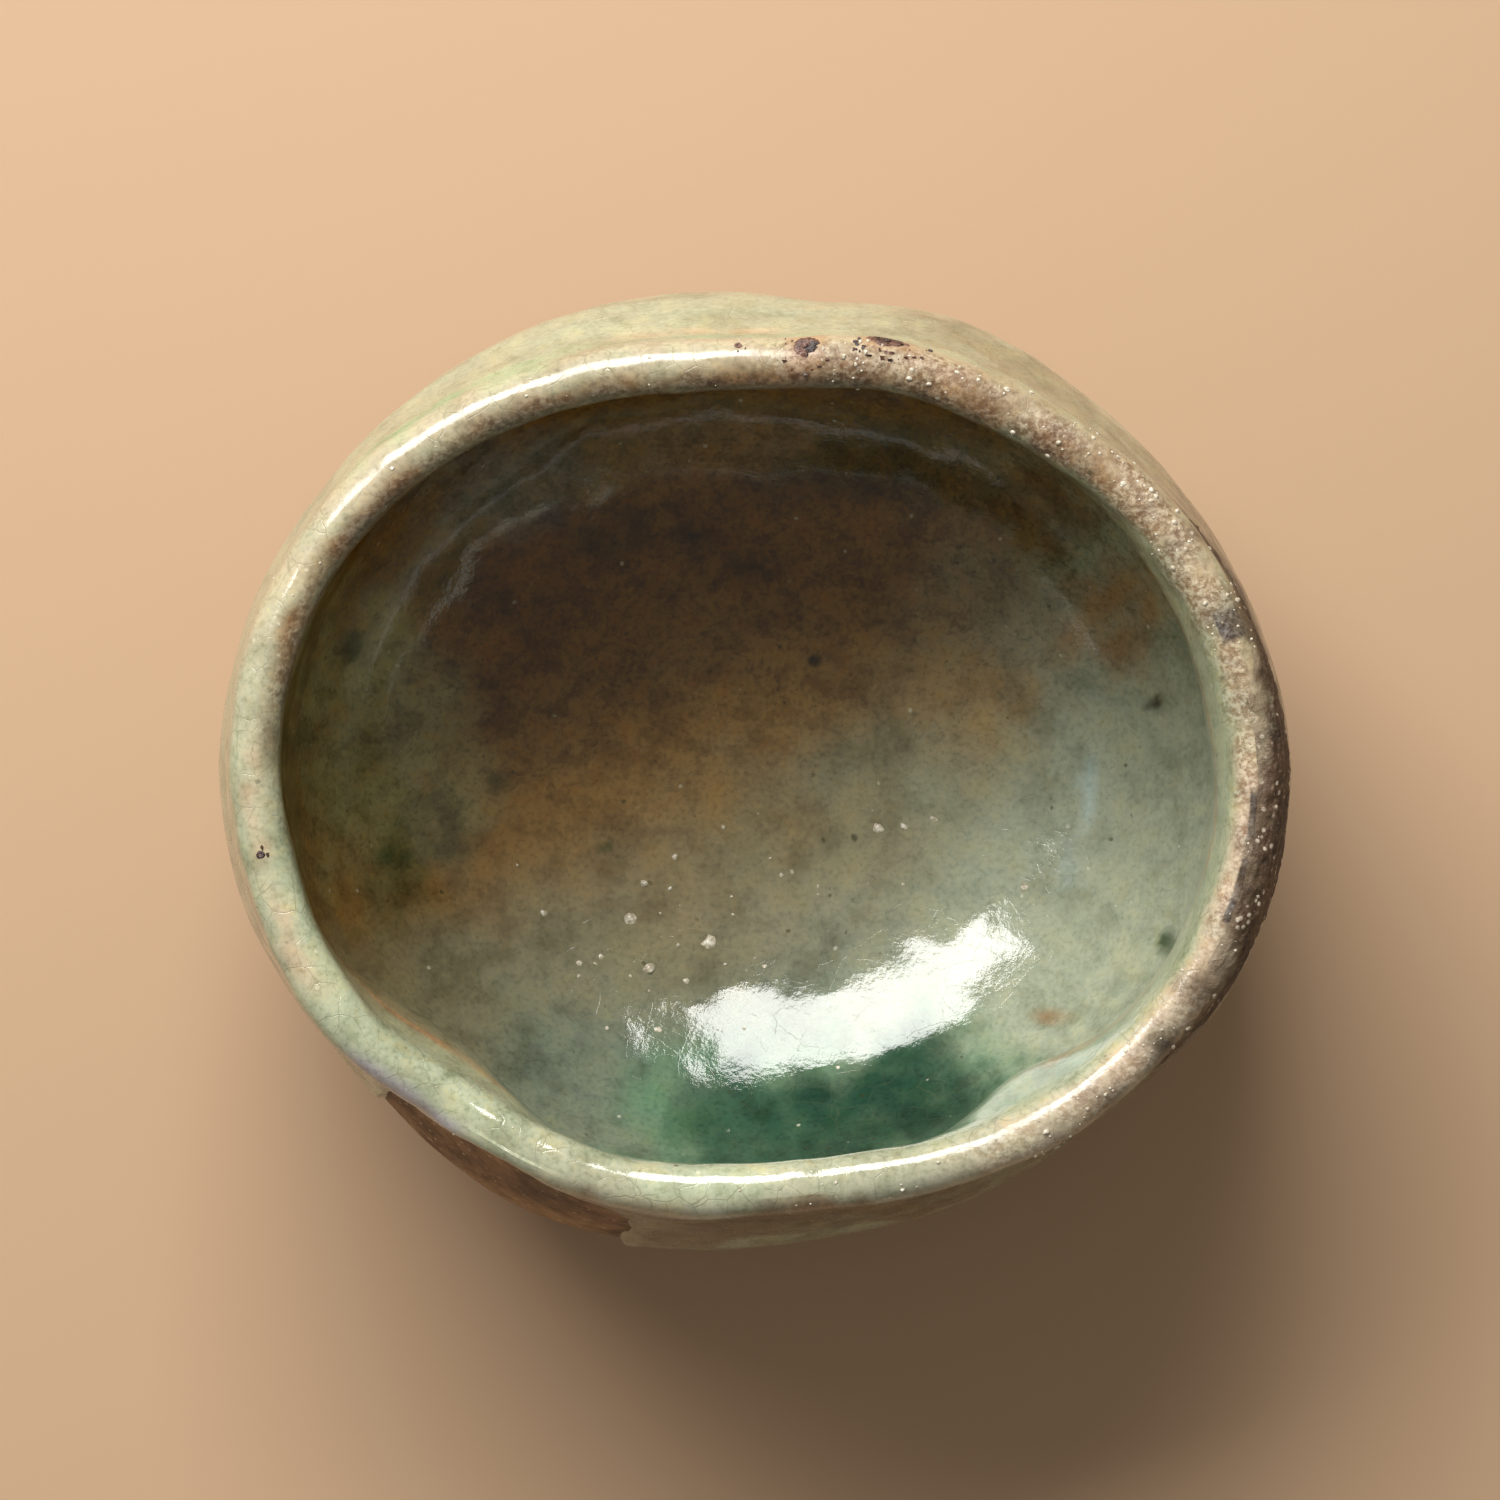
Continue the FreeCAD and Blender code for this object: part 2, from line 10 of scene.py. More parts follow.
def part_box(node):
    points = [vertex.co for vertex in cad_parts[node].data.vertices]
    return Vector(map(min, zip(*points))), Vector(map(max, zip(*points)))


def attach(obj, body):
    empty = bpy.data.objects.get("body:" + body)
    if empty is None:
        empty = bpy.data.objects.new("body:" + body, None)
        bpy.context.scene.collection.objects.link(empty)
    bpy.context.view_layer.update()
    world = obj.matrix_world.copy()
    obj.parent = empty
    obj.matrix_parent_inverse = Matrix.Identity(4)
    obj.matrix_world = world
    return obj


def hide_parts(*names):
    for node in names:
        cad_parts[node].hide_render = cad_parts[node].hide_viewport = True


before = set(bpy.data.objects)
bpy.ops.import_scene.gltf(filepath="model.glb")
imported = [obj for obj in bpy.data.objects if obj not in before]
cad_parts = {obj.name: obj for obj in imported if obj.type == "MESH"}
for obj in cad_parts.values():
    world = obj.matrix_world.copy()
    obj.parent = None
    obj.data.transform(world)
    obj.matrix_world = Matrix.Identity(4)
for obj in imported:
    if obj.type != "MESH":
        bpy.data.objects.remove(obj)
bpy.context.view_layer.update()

MM = 0.001
SPOKES = 96
LIP_ROUND = 2.45  # half the clay lip's thickness
FOOT_LOW, FOOT_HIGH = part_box("foot_ring")
AXIS = Vector(((FOOT_LOW.x + FOOT_HIGH.x) / 2, (FOOT_LOW.y + FOOT_HIGH.y) / 2, 0.0))
SEAM = 3.2  # the lip's own dip reaches this far past the lip's round, down both walls
BELLY_LEVEL = 42.0
UNDERSIDE_RADIUS = 30.0  # the flat round that the foot is luted to
COAT = 0.7  # glaze over the clay
MARK_AZIMUTH, MARK_HALF_WIDTH, MARK_LEVEL = 237.0, 17.0, 57.5  # the bare arch and its round's middle
POOL_AZIMUTH, POOL_LEVEL = 281.0, 27.0
CRUST_AZIMUTH = 354.0


# ---------------------------------------------------------------- small helpers


def ease(low, high, value):
    """0 at low, 1 at high, and smooth between; low may be the larger."""
    t = min(1.0, max(0.0, (value - low) / (high - low)))
    return t * t * (3.0 - 2.0 * t)


def turn_to(azimuth, centre):
    return (azimuth - centre + 180.0) % 360.0 - 180.0


def linear(code):
    """A colour written #rrggbb, as the shader's own linear numbers."""
    parts = [int(code[i : i + 2], 16) / 255 for i in (1, 3, 5)]
    return [c / 12.92 if c <= 0.04045 else ((c + 0.055) / 1.055) ** 2.4 for c in parts]


def blend(a, b, t):
    return [x + (y - x) * t for x, y in zip(a, b)]


def rough(place, size, seed=0.0):
    """Soft noise from about -1 to 1 whose lumps are size mm across."""
    return noise.noise(Vector(place) / size + Vector((seed, seed * 1.7, -seed)))


def use(piece):
    bpy.ops.object.select_all(action="DESELECT")
    piece.select_set(True)
    bpy.context.view_layer.objects.active = piece


def finish_with(piece, kind, **settings):
    """Adds one modifier, sets it and applies it."""
    use(piece)
    modifier = piece.modifiers.new(kind.lower(), kind)
    for name, value in settings.items():
        setattr(modifier, name, value)
    bpy.ops.object.modifier_apply(modifier=modifier.name)


def copy_of(piece, name):
    twin = piece.copy()
    twin.data = piece.data.copy()
    twin.name = twin.data.name = name
    bpy.context.collection.objects.link(twin)
    return twin


class Spot:
    """One place on the bowl's skin, in mm from the axis, with its azimuth and its way past the crest."""

    def __init__(self, place, past):
        self.place = (place - AXIS) / MM
        self.x, self.y, self.level = self.place
        self.radius = math.hypot(self.x, self.y)
        self.azimuth = math.degrees(math.atan2(self.y, self.x)) % 360.0
        self.past = past  # negative outside, positive inside


# ---------------------------------------------------------------- throwing the bowl

SHARES = (0.0, 0.15, 0.3, 0.45, 0.6, 0.74, 0.84, 0.915)
RINGS = [("under", radius) for radius in (12.0, 20.0, 27.0)]
RINGS += [("heel", angle) for angle in range(4, 86, 10)]
RINGS += [("wall", share) for share in SHARES]
RINGS += [("lip", tilt) for tilt in range(0, 181, 18)]
RINGS += [("inside", share) for share in reversed(SHARES)]
RINGS += [("well", angle) for angle in range(81, 0, -9)]
LIP_AT = {}


def cad_skin(node):
    return BVHTree.FromObject(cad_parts[node], bpy.context.evaluated_depsgraph_get())


def spoke_point(azimuth, radius, level):
    a = math.radians(azimuth)
    return AXIS + Vector((math.cos(a) * radius, math.sin(a) * radius, level)) * MM


def reach(clay, azimuth, start, aim):
    """Where a line from start to aim, both (radius, level), first meets the clay at one azimuth."""
    for nudge in (0.0, 0.02, -0.02, 0.05):
        begin = spoke_point(azimuth + nudge, *start)
        hit = clay.ray_cast(begin, (spoke_point(azimuth + nudge, *aim) - begin).normalized())[0]
        if hit:
            return hit
    raise RuntimeError(f"no clay at azimuth {azimuth}, from {start} to {aim}")


def lip_at(clay, azimuth):
    """Radius and level of the middle of the lip's round."""
    key = round(azimuth, 3)
    if key not in LIP_AT:
        level = 70.0
        for _ in range(2):
            outside = Spot(reach(clay, azimuth, (90.0, level), (0.0, level)), 0.0).radius
            inside = Spot(reach(clay, azimuth, (0.0, level), (90.0, level)), 0.0).radius
            radius = (outside + inside) / 2
            level = Spot(reach(clay, azimuth, (radius, 95.0), (radius, 0.0)), 0.0).level - LIP_ROUND
        LIP_AT[key] = radius, level
    return LIP_AT[key]


def seat(clay, ring, azimuth):
    """A ring's point on the clay at one azimuth."""
    kind, value = ring
    lip_radius, lip_level = lip_at(clay, azimuth)
    across, down = math.sin(math.radians(value)), math.cos(math.radians(value))
    level = BELLY_LEVEL + (lip_level - BELLY_LEVEL) * value
    far = 60.0
    lines = {
        "under": ((value, -20.0), (value, BELLY_LEVEL)),
        "heel": (
            (UNDERSIDE_RADIUS + far * across, BELLY_LEVEL - far * down),
            (UNDERSIDE_RADIUS, BELLY_LEVEL),
        ),
        "wall": ((90.0, level), (0.0, level)),
        "lip": ((lip_radius + 15.0 * down, lip_level + 15.0 * across), (lip_radius, lip_level)),
        "inside": ((0.0, level), (90.0, level)),
        "well": ((15.0, BELLY_LEVEL), (15.0 + far * across, BELLY_LEVEL - far * down)),
    }
    return reach(clay, azimuth, *lines[kind])


def seat_selected(shell, clay, ring, number):
    """Presses the ring that was just pulled up onto the clay, and remembers which ring it is."""
    mesh = bmesh.from_edit_mesh(shell.data)
    layer = mesh.verts.layers.float.get("ring") or mesh.verts.layers.float.new("ring")
    for point in mesh.verts:
        if point.select:
            spoke = round(Spot(point.co, 0.0).azimuth / (360.0 / SPOKES)) % SPOKES
            point.co = seat(clay, ring, spoke * 360.0 / SPOKES)
            point[layer] = number
    bmesh.update_edit_mesh(shell.data)


def close_end(shell, clay, number, start, aim):
    """Closes one end of the thrown tube with a grid, and presses it onto the clay."""
    bpy.ops.mesh.select_all(action="DESELECT")
    mesh = bmesh.from_edit_mesh(shell.data)
    layer = mesh.verts.layers.float["ring"]
    seated = set()
    for point in mesh.verts:
        point.select = abs(point[layer] - number) < 0.01
        seated.add(point.co.to_tuple(6))
    mesh.select_flush(True)
    bmesh.update_edit_mesh(shell.data)
    bpy.ops.mesh.fill_grid(span=SPOKES // 4)
    bpy.ops.mesh.select_all(action="SELECT")
    bpy.ops.mesh.remove_doubles(threshold=0.01 * MM)
    mesh = bmesh.from_edit_mesh(shell.data)
    layer = mesh.verts.layers.float["ring"]
    for point in mesh.verts:
        if point.co.to_tuple(6) not in seated:
            spot = Spot(point.co, 0.0)
            point.co = reach(clay, spot.azimuth, (spot.radius, start), (spot.radius, aim))
            point[layer] = number + (0.5 if number else -0.5)
    bmesh.update_edit_mesh(shell.data)


def measure_past_crest(shell):
    """Stores on each point how far past the crest it is along the skin: minus outside, plus inside."""
    mesh = bmesh.from_edit_mesh(shell.data)
    ring_layer = mesh.verts.layers.float["ring"]
    past_layer = mesh.verts.layers.float.new("past")
    crest, last = RINGS.index(("lip", 90)), len(RINGS) - 1
    columns = {}
    for point in mesh.verts:
        ring = point[ring_layer]
        if 0 <= ring <= last:
            spoke = round(Spot(point.co, 0.0).azimuth / (360.0 / SPOKES)) % SPOKES
            columns.setdefault(spoke, {})[round(ring)] = point
    for column in columns.values():
        for way, stop in ((1, last), (-1, 0)):
            length = 0.0
            for ring in range(crest + way, stop + way, way):
                length += (column[ring].co - column[ring - way].co).length / MM
                column[ring][past_layer] = length * way
    for ring, way in ((0, -1), (last, 1)):
        rim = [column[ring] for column in columns.values()]
        length = sum(point[past_layer] for point in rim) / len(rim)
        edge = sum(Spot(point.co, 0.0).radius for point in rim) / len(rim)
        for point in mesh.verts:
            if point[ring_layer] * way > ring * way + 0.2:
                point[past_layer] = length + way * (edge - Spot(point.co, 0.0).radius)
    bmesh.update_edit_mesh(shell.data)


def throw(name, clay):
    """Pulls a closed skin up from under the foot, over the lip and down to the floor, on the clay."""
    bpy.ops.object.select_all(action="DESELECT")
    bpy.ops.mesh.primitive_circle_add(vertices=SPOKES, radius=10 * MM, location=AXIS)
    shell = bpy.context.object
    shell.name = shell.data.name = name
    bpy.ops.object.transform_apply(location=True, rotation=False, scale=False)
    bpy.ops.object.mode_set(mode="EDIT")
    bpy.ops.mesh.select_all(action="SELECT")
    seat_selected(shell, clay, RINGS[0], 0)
    for number, ring in enumerate(RINGS[1:], 1):
        bpy.ops.mesh.extrude_region_move()
        seat_selected(shell, clay, ring, number)
    close_end(shell, clay, len(RINGS) - 1, 60.0, 0.0)
    close_end(shell, clay, 0, -20.0, BELLY_LEVEL)
    measure_past_crest(shell)
    bpy.ops.mesh.select_all(action="SELECT")
    bpy.ops.mesh.normals_make_consistent(inside=False)
    bpy.ops.object.mode_set(mode="OBJECT")
    finish_with(shell, "SUBSURF", levels=2, render_levels=2)
    return shell


# ---------------------------------------------------------------- the hand's marks


DIMPLES = (  # x, y, radius, height on the inside, in mm
    (9.5, -29.5, 2.0, -0.3), (21.0, -25.0, 3.0, 0.22), (0.0, -33.0, 3.2, 0.2), (28.0, -20.0, 2.4, -0.2),
    (14.0, -35.0, 3.0, 0.2), (-4.0, -27.0, 2.4, -0.18), (33.0, -27.0, 3.0, 0.2), (-30.0, 25.0, 3.5, 0.3),
)


def hand_marks(spot):
    """How far the maker's hands left the wall off its smooth shape, in mm, for clay and coats alike."""
    out = 0.34 * rough(spot.place, 17.0) + 0.12 * rough(spot.place, 6.5, 3.0)
    if spot.past < -5:
        deep = ease(-5, -12, spot.past)
        stretched = (spot.x * 0.45, spot.y * 0.45, spot.level * 1.6)
        out += 0.22 * deep * rough(stretched, 8.0, 5.0)
    if abs(spot.past) < 6:
        out += 0.16 * rough(spot.place, 4.2, 7.0) * (1 - ease(3, 6, abs(spot.past)))
    if spot.past > 6:
        out += 0.24 * ease(6, 20, spot.past) * rough(spot.place, 11.0, 9.0)
        for x, y, radius, height in DIMPLES:
            away = math.hypot(spot.x - x, spot.y - y) / radius
            if away < 2.5:
                out += height * math.exp(-away * away)
    return out


def glaze_line(azimuth):
    """The coats' lower edge, as an angle round the heel, which wanders as it goes round the bowl."""
    a = math.radians(azimuth)
    return 36.0 + 6.0 * (0.6 * math.sin(3.0 * a + 0.7) + 0.4 * math.sin(5.0 * a + 1.9))


def inside_coat_edge(spot):
    """How far a place is inside the coats' edge, in mm; bare clay is negative."""
    if spot.past > -1.0:
        return 20.0
    heel = math.degrees(math.atan2(spot.radius - UNDERSIDE_RADIUS, BELLY_LEVEL - spot.level))
    line = (heel - glaze_line(spot.azimuth)) * 0.61  # mm to a degree round the heel
    a = math.radians(MARK_AZIMUTH)
    across = spot.y * math.cos(a) - spot.x * math.sin(a)
    mark = 50.0
    if spot.x * math.cos(a) + spot.y * math.sin(a) > 0:
        mark = math.hypot(across, max(0.0, spot.level - MARK_LEVEL)) - MARK_HALF_WIDTH
    wobble = 0.7 * rough(spot.place, 6.0, 11.0) + 0.3 * rough(spot.place, 2.2, 12.0)
    return min(line, mark) + wobble


def coat_thickness(spot):
    """The glaze's thickness over the clay, in mm: it thins on the lip and rolls to a bead at its edge."""
    edge = inside_coat_edge(spot)
    full = COAT - 0.16 * (1 - ease(0.0, 3.0, abs(spot.past))) + 0.1 * rough(spot.place, 5.0, 14.0)
    if edge > 6.0:
        return full
    if edge < 0.0:
        return max(-0.5, edge * 0.8)
    roll = math.sqrt(max(0.0, 1 - (1 - min(1.0, edge / 1.1)) ** 2))
    bead = 0.25 * math.exp(-(((edge - 1.3) / 0.9) ** 2))
    return (full + bead) * roll


# ---------------------------------------------------------------- what the kiln painted, and a few painted reflections

CELADON = "#a9b096"
RUNS = (
    # colour, azimuth, half width, from, to, edge softness, strength, how broken up
    ("#b6a78f", 100, 70, -4.5, 1.2, 1.6, 0.8, 0.2),
    ("#adb194", 120, 60, -18, -4.0, 3.0, 0.6, 0.6),
    ("#9fbb93", 128, 16, -10, -3.0, 2.0, 0.8, 0.5),
    ("#7fae82", 134, 6, -8, -4.5, 1.2, 0.8, 0.3),
    ("#93b08c", 92, 9, -10, -5.5, 1.5, 0.9, 0.4),
    ("#d3b896", 98, 10, -13, -9.0, 1.5, 0.6, 0.6),
    ("#a9b795", 45, 28, -9, -2.8, 1.4, 0.7, 0.3),
    ("#7f795b", 32, 42, -30, -6.5, 2.0, 0.75, 0.4),
    ("#7c5b37", 118, 60, 0.6, 5.5, 1.0, 0.9, 0.35),
    ("#8c6c48", 60, 34, -0.6, 3.2, 1.4, 0.85, 0.6),
    ("#b39c7e", 40, 34, -3.2, 0.6, 1.2, 0.7, 0.6),
    ("#b0a084", 8, 30, -1.4, 2.5, 1.4, 0.8, 0.6),
    ("#cdbba6", 330, 34, -3.0, 2.2, 1.4, 0.85, 0.4),
    ("#b4b49d", 275, 36, -1.8, 2.6, 1.4, 0.8, 0.4),
    ("#b4c0a4", 262, 9, -1.0, 2.0, 1.2, 0.6, 0.4),
    ("#a9a79d", 262, 30, -6.5, -2.2, 1.4, 0.7, 0.6),
    ("#aeaab2", 222, 8, -6.0, -1.6, 1.0, 0.9, 0.2),
    ("#aba9b2", 215, 4, -6.0, -3.2, 0.8, 0.9, 0.1),
    ("#c3a88d", 190, 16, -1.6, 0.6, 1.0, 0.6, 0.6),
    ("#6a5536", 270, 30, -26, -4.6, 2.0, 0.85, 0.3),
    ("#8d8262", 285, 34, -70, -24, 5.0, 0.6, 0.6),
    ("#5b4a3a", 205, 12, -9, -5.0, 1.5, 0.8, 0.6),
    ("#a88465", 84, 2.6, -3.9, 0.5, 0.7, 0.7, 0.1),
    ("#a58262", 73.5, 3.6, -5.3, -1.6, 0.7, 0.7, 0.1),
    ("#a5a98a", 222, 26, 4.5, 9.5, 1.5, 0.8, 0.4),
    ("#ab7f58", 214, 18, 8.6, 10.4, 0.8, 0.7, 0.5),
    ("#b2b99c", 0, 42, 3.0, 10.0, 1.5, 0.8, 0.4),
    ("#b88a60", 352, 30, 9.2, 11.0, 0.9, 0.75, 0.5),
    ("#93a88f", 310, 14, 5.0, 14.0, 2.0, 0.8, 0.4),
    ("#b18a62", 320, 6, 11.0, 15.0, 1.4, 0.7, 0.4),
    ("#527a5e", 281, 32, 36, 70, 5.0, 0.75, 0.3),
    ("#234536", 282, 22, 40, 64, 3.5, 0.95, 0.15),
    ("#1c3a2e", 290, 14, 46, 62, 3.0, 0.75, 0.4),
    ("#87705a", 277, 3, -3.6, -1.4, 0.8, 0.75, 0.3),
    ("#5d4730", 262, 4, -7.0, -4.4, 0.9, 0.8, 0.4),
    ("#5d4730", 271, 3, -7.0, -4.6, 0.9, 0.8, 0.4),
    ("#a59a80", 250, 10, -4.5, -1.5, 1.0, 0.6, 0.5),
    ("#6b5a40", 350, 42, -33, -2.0, 3.0, 0.75, 0.5),
    ("#3a2c24", 356, 32, -24, -0.8, 0.7, 0.95, 0.25),
)


def run_amount(run, spot):
    _, azimuth, width, start, end, soft, strength, broken = run
    off = abs(turn_to(spot.azimuth, azimuth))
    if off > width * 1.25 or not start - 2 * soft < spot.past < end + 2 * soft:
        return 0.0
    past = spot.past + soft * rough(spot.place, 5.0, azimuth * 0.11)
    if end - start > 12:
        drip = 9.0 if end < 0 else 2.0
        past += drip * rough((spot.azimuth, start, 0.0), 5.5) + 3.0 * rough(spot.place, 9.0, azimuth * 0.13)
        off += width * 0.3 * rough(spot.place, 9.0, azimuth * 0.17)
    amount = ease(start - soft, start + soft, past) * (1 - ease(end - soft, end + soft, past))
    amount *= 1 - ease(width * 0.75, width * 1.25, off)
    ragged = rough(spot.place, 3.2, azimuth * 0.07 + start) + 0.6 * rough(spot.place, 9.0, start)
    patchy = 1.0 - broken * ease(-0.25, 0.4, ragged)
    return amount * strength * patchy


BLOTS_AND_PAINTED_REFLECTIONS = (
    # colour, x, y, half width, half depth, strength, how broken up: places on the inside, from above; a few
    # rows are painted reflections
    ("#6b4810", -32, 25, 15, 6.5, 0.85, 0.3),
    ("#5d4212", -18, 31, 10, 5, 0.7, 0.4),
    ("#4c3a10", 14, 39, 18, 6.5, 0.8, 0.4),
    ("#5f4312", -2, 27, 12, 5, 0.5, 0.5),
    # painted reflection: a grey-lavender sheen of the room on the upper back wall, not the glaze's colour
    ("#77706a", -34, 37, 14, 8, 0.75, 0.3),
    ("#96785c", -5, 42, 15, 4.5, 0.75, 0.35),
    ("#8a7c58", -46, 12, 8, 11, 0.7, 0.4),
    ("#795314", 35, 33, 11, 7, 0.75, 0.4),
    ("#a27a50", 46, 20, 8, 9, 0.75, 0.4),
    ("#ab8f60", 29, 9, 11, 8, 0.6, 0.4),
    ("#a09a6c", -51, 4, 10, 22, 0.9, 0.2),
    ("#a39c70", -42, 0, 9, 14, 0.7, 0.3),
    ("#575c36", -47, -12, 5, 9, 0.5, 0.7),
    ("#474a2a", -42, -8, 7, 6, 0.55, 0.7),
    ("#8b7a5c", -14, -14, 12, 7, 0.4, 0.6),
    ("#8f8c78", 6, -20, 16, 8, 0.4, 0.5),
    ("#6b6d52", 14, 2, 8, 5, 0.4, 0.6),
    ("#2c3a1a", -52, 16, 1.3, 2.6, 0.85, 0.3),
    ("#38482a", -44, -4, 2.4, 1.6, 0.6, 0.6),
    ("#2c4322", -47, -11, 2.6, 1.8, 0.7, 0.5),
    ("#3c4420", -34, -2, 1.3, 1.7, 0.7, 0.3),
    ("#3c4420", -20, -10, 1.2, 0.9, 0.7, 0.2),
    ("#2a2410", -45, 11.5, 0.9, 0.9, 0.9, 0.0),
    ("#2a2410", 7, 14, 1.2, 1.0, 0.9, 0.0),
    ("#2a2410", 51, 8.5, 1.0, 1.0, 0.9, 0.0),
    ("#2e2008", -9, 30.5, 6.0, 1.0, 0.7, 0.3),
    ("#27401c", 51.9, -22, 1.4, 1.7, 0.9, 0.1),
    # painted reflection: the next two rows are pale blue-white streaks of sky light on the right wall, not
    # the glaze's colour
    ("#b4c6c4", 42.5, -3.5, 1.5, 6.0, 0.7, 0.4),
    ("#aebfbd", 40, -13, 1.5, 4.5, 0.5, 0.4),
    ("#a5774c", 37.5, -32, 3.4, 1.3, 0.5, 0.4),
)


def inside_colour(spot):
    """The melt inside the bowl: umber and amber at the back, olive, then sage green at the front, with a
    few painted reflections on the back and right walls.
    """
    wander = 9.0 * rough(spot.place, 21.0, 21.0) + 5.0 * rough(spot.place, 8.0, 22.0)
    forward = -spot.y + 0.4 * spot.x + wander
    colour = blend(linear("#7f5a1c"), linear("#8f7040"), ease(-30, -6, forward))
    colour = blend(colour, linear("#857f64"), ease(-4, 12, forward))
    colour = blend(colour, linear("#6f7969"), ease(10, 30, forward))
    rightward = 0.9 * spot.x - 0.35 * spot.y + wander
    colour = blend(colour, linear("#9da490"), ease(2, 34, rightward) * ease(-42, -10, forward))
    for code, x, y, half_x, half_y, strength, broken in BLOTS_AND_PAINTED_REFLECTIONS:
        away = math.hypot((spot.x - x) / half_x, (spot.y - y) / half_y)
        if away < 1.6:
            away += 0.35 * rough(spot.place, 5.0, x) + 0.15 * rough(spot.place, 2.0, y)
            patchy = 1 - broken * ease(-0.2, 0.35, rough(spot.place, 3.5, x + y))
            colour = blend(colour, linear(code), strength * patchy * (1 - ease(0.45, 1.15, away)))
    return colour


def melt_and_reflection_colour(spot):
    """The glaze's colour at one place, with the inside's painted reflections, before its finish adds small
    detail.
    """
    colour = linear(CELADON)
    if spot.past > 1.0:
        past = spot.past + rough(spot.place, 6.0, 41.0)
        colour = blend(colour, inside_colour(spot), ease(2.5, 7.5, past))
    for run in RUNS:
        amount = run_amount(run, spot)
        if amount > 0:
            colour = blend(colour, linear(run[0]), amount)
    return colour


def sandy(spot):
    """How sandy and granular the glaze is, from 0 to 1."""
    amount = 0.0
    for azimuth, width, start, end, strength in (
        (118, 62, 1.0, 5.0, 0.8),
        (52, 38, -2.2, 3.2, 1.0),
        (5, 26, -0.6, 2.2, 1.0),
        (322, 28, -2.8, 1.2, 0.7),
        (343, 42, -24, -3.0, 0.7),
    ):
        off = abs(turn_to(spot.azimuth, azimuth))
        past = spot.past + 1.1 * rough(spot.place, 2.6, 71.0)
        here = ease(start - 0.8, start + 0.8, past) * (1 - ease(end - 0.8, end + 0.8, past))
        here *= 1 - 0.6 * ease(-0.1, 0.35, rough(spot.place, 4.0, 72.0))
        amount = max(amount, strength * here * (1 - ease(width * 0.8, width * 1.2, off)))
    return amount


def pool_reach(spot):
    """How far a place is inside the green pool's edge, in mm."""
    if spot.past < 10:
        return -20.0
    across = turn_to(spot.azimuth, POOL_AZIMUTH) * 0.8 / 17.0
    up = (spot.level - POOL_LEVEL) / 8.0
    return (1 - math.hypot(across, up)) * 8.0 + 0.8 * rough(spot.place, 7.0, 61.0)


def crust_reach(spot):
    """How far a place is inside the crust's edge, in mm."""
    if spot.past > 0:
        return -20.0
    across = turn_to(spot.azimuth, CRUST_AZIMUTH) * 1.13 / 41.0
    up = (spot.past + 11.6) / 12.4
    ragged = 1.2 * rough(spot.place, 5.0, 62.0) + 0.8 * rough(spot.place, 1.8, 63.0)
    return (1 - math.hypot(across, up)) * 9.0 + ragged


def paint(piece, **values):
    """Stores named values on a piece's points for its finish to read: one number or a colour each."""
    for name, (kind, numbers) in values.items():
        layer = piece.data.attributes.new(name, kind, "POINT")
        layer.data.foreach_set("color" if kind == "FLOAT_COLOR" else "value", numbers)


# ---------------------------------------------------------------- finishes


class Wire:
    """A shader socket that can be added, multiplied and so on; each sum adds its Math node."""

    def __init__(self, finish, socket):
        self.finish, self.socket = finish, socket

    def math(self, operation, a, b=0.0):
        return self.finish.node("ShaderNodeMath", {"operation": operation}, {0: a, 1: b})

    def __add__(self, other):
        return self.math("ADD", self, other)

    def __sub__(self, other):
        return self.math("SUBTRACT", self, other)

    def __rsub__(self, other):
        return self.math("SUBTRACT", other, self)

    def __mul__(self, other):
        return self.math("MULTIPLY", self, other)

    __radd__, __rmul__ = __add__, __mul__


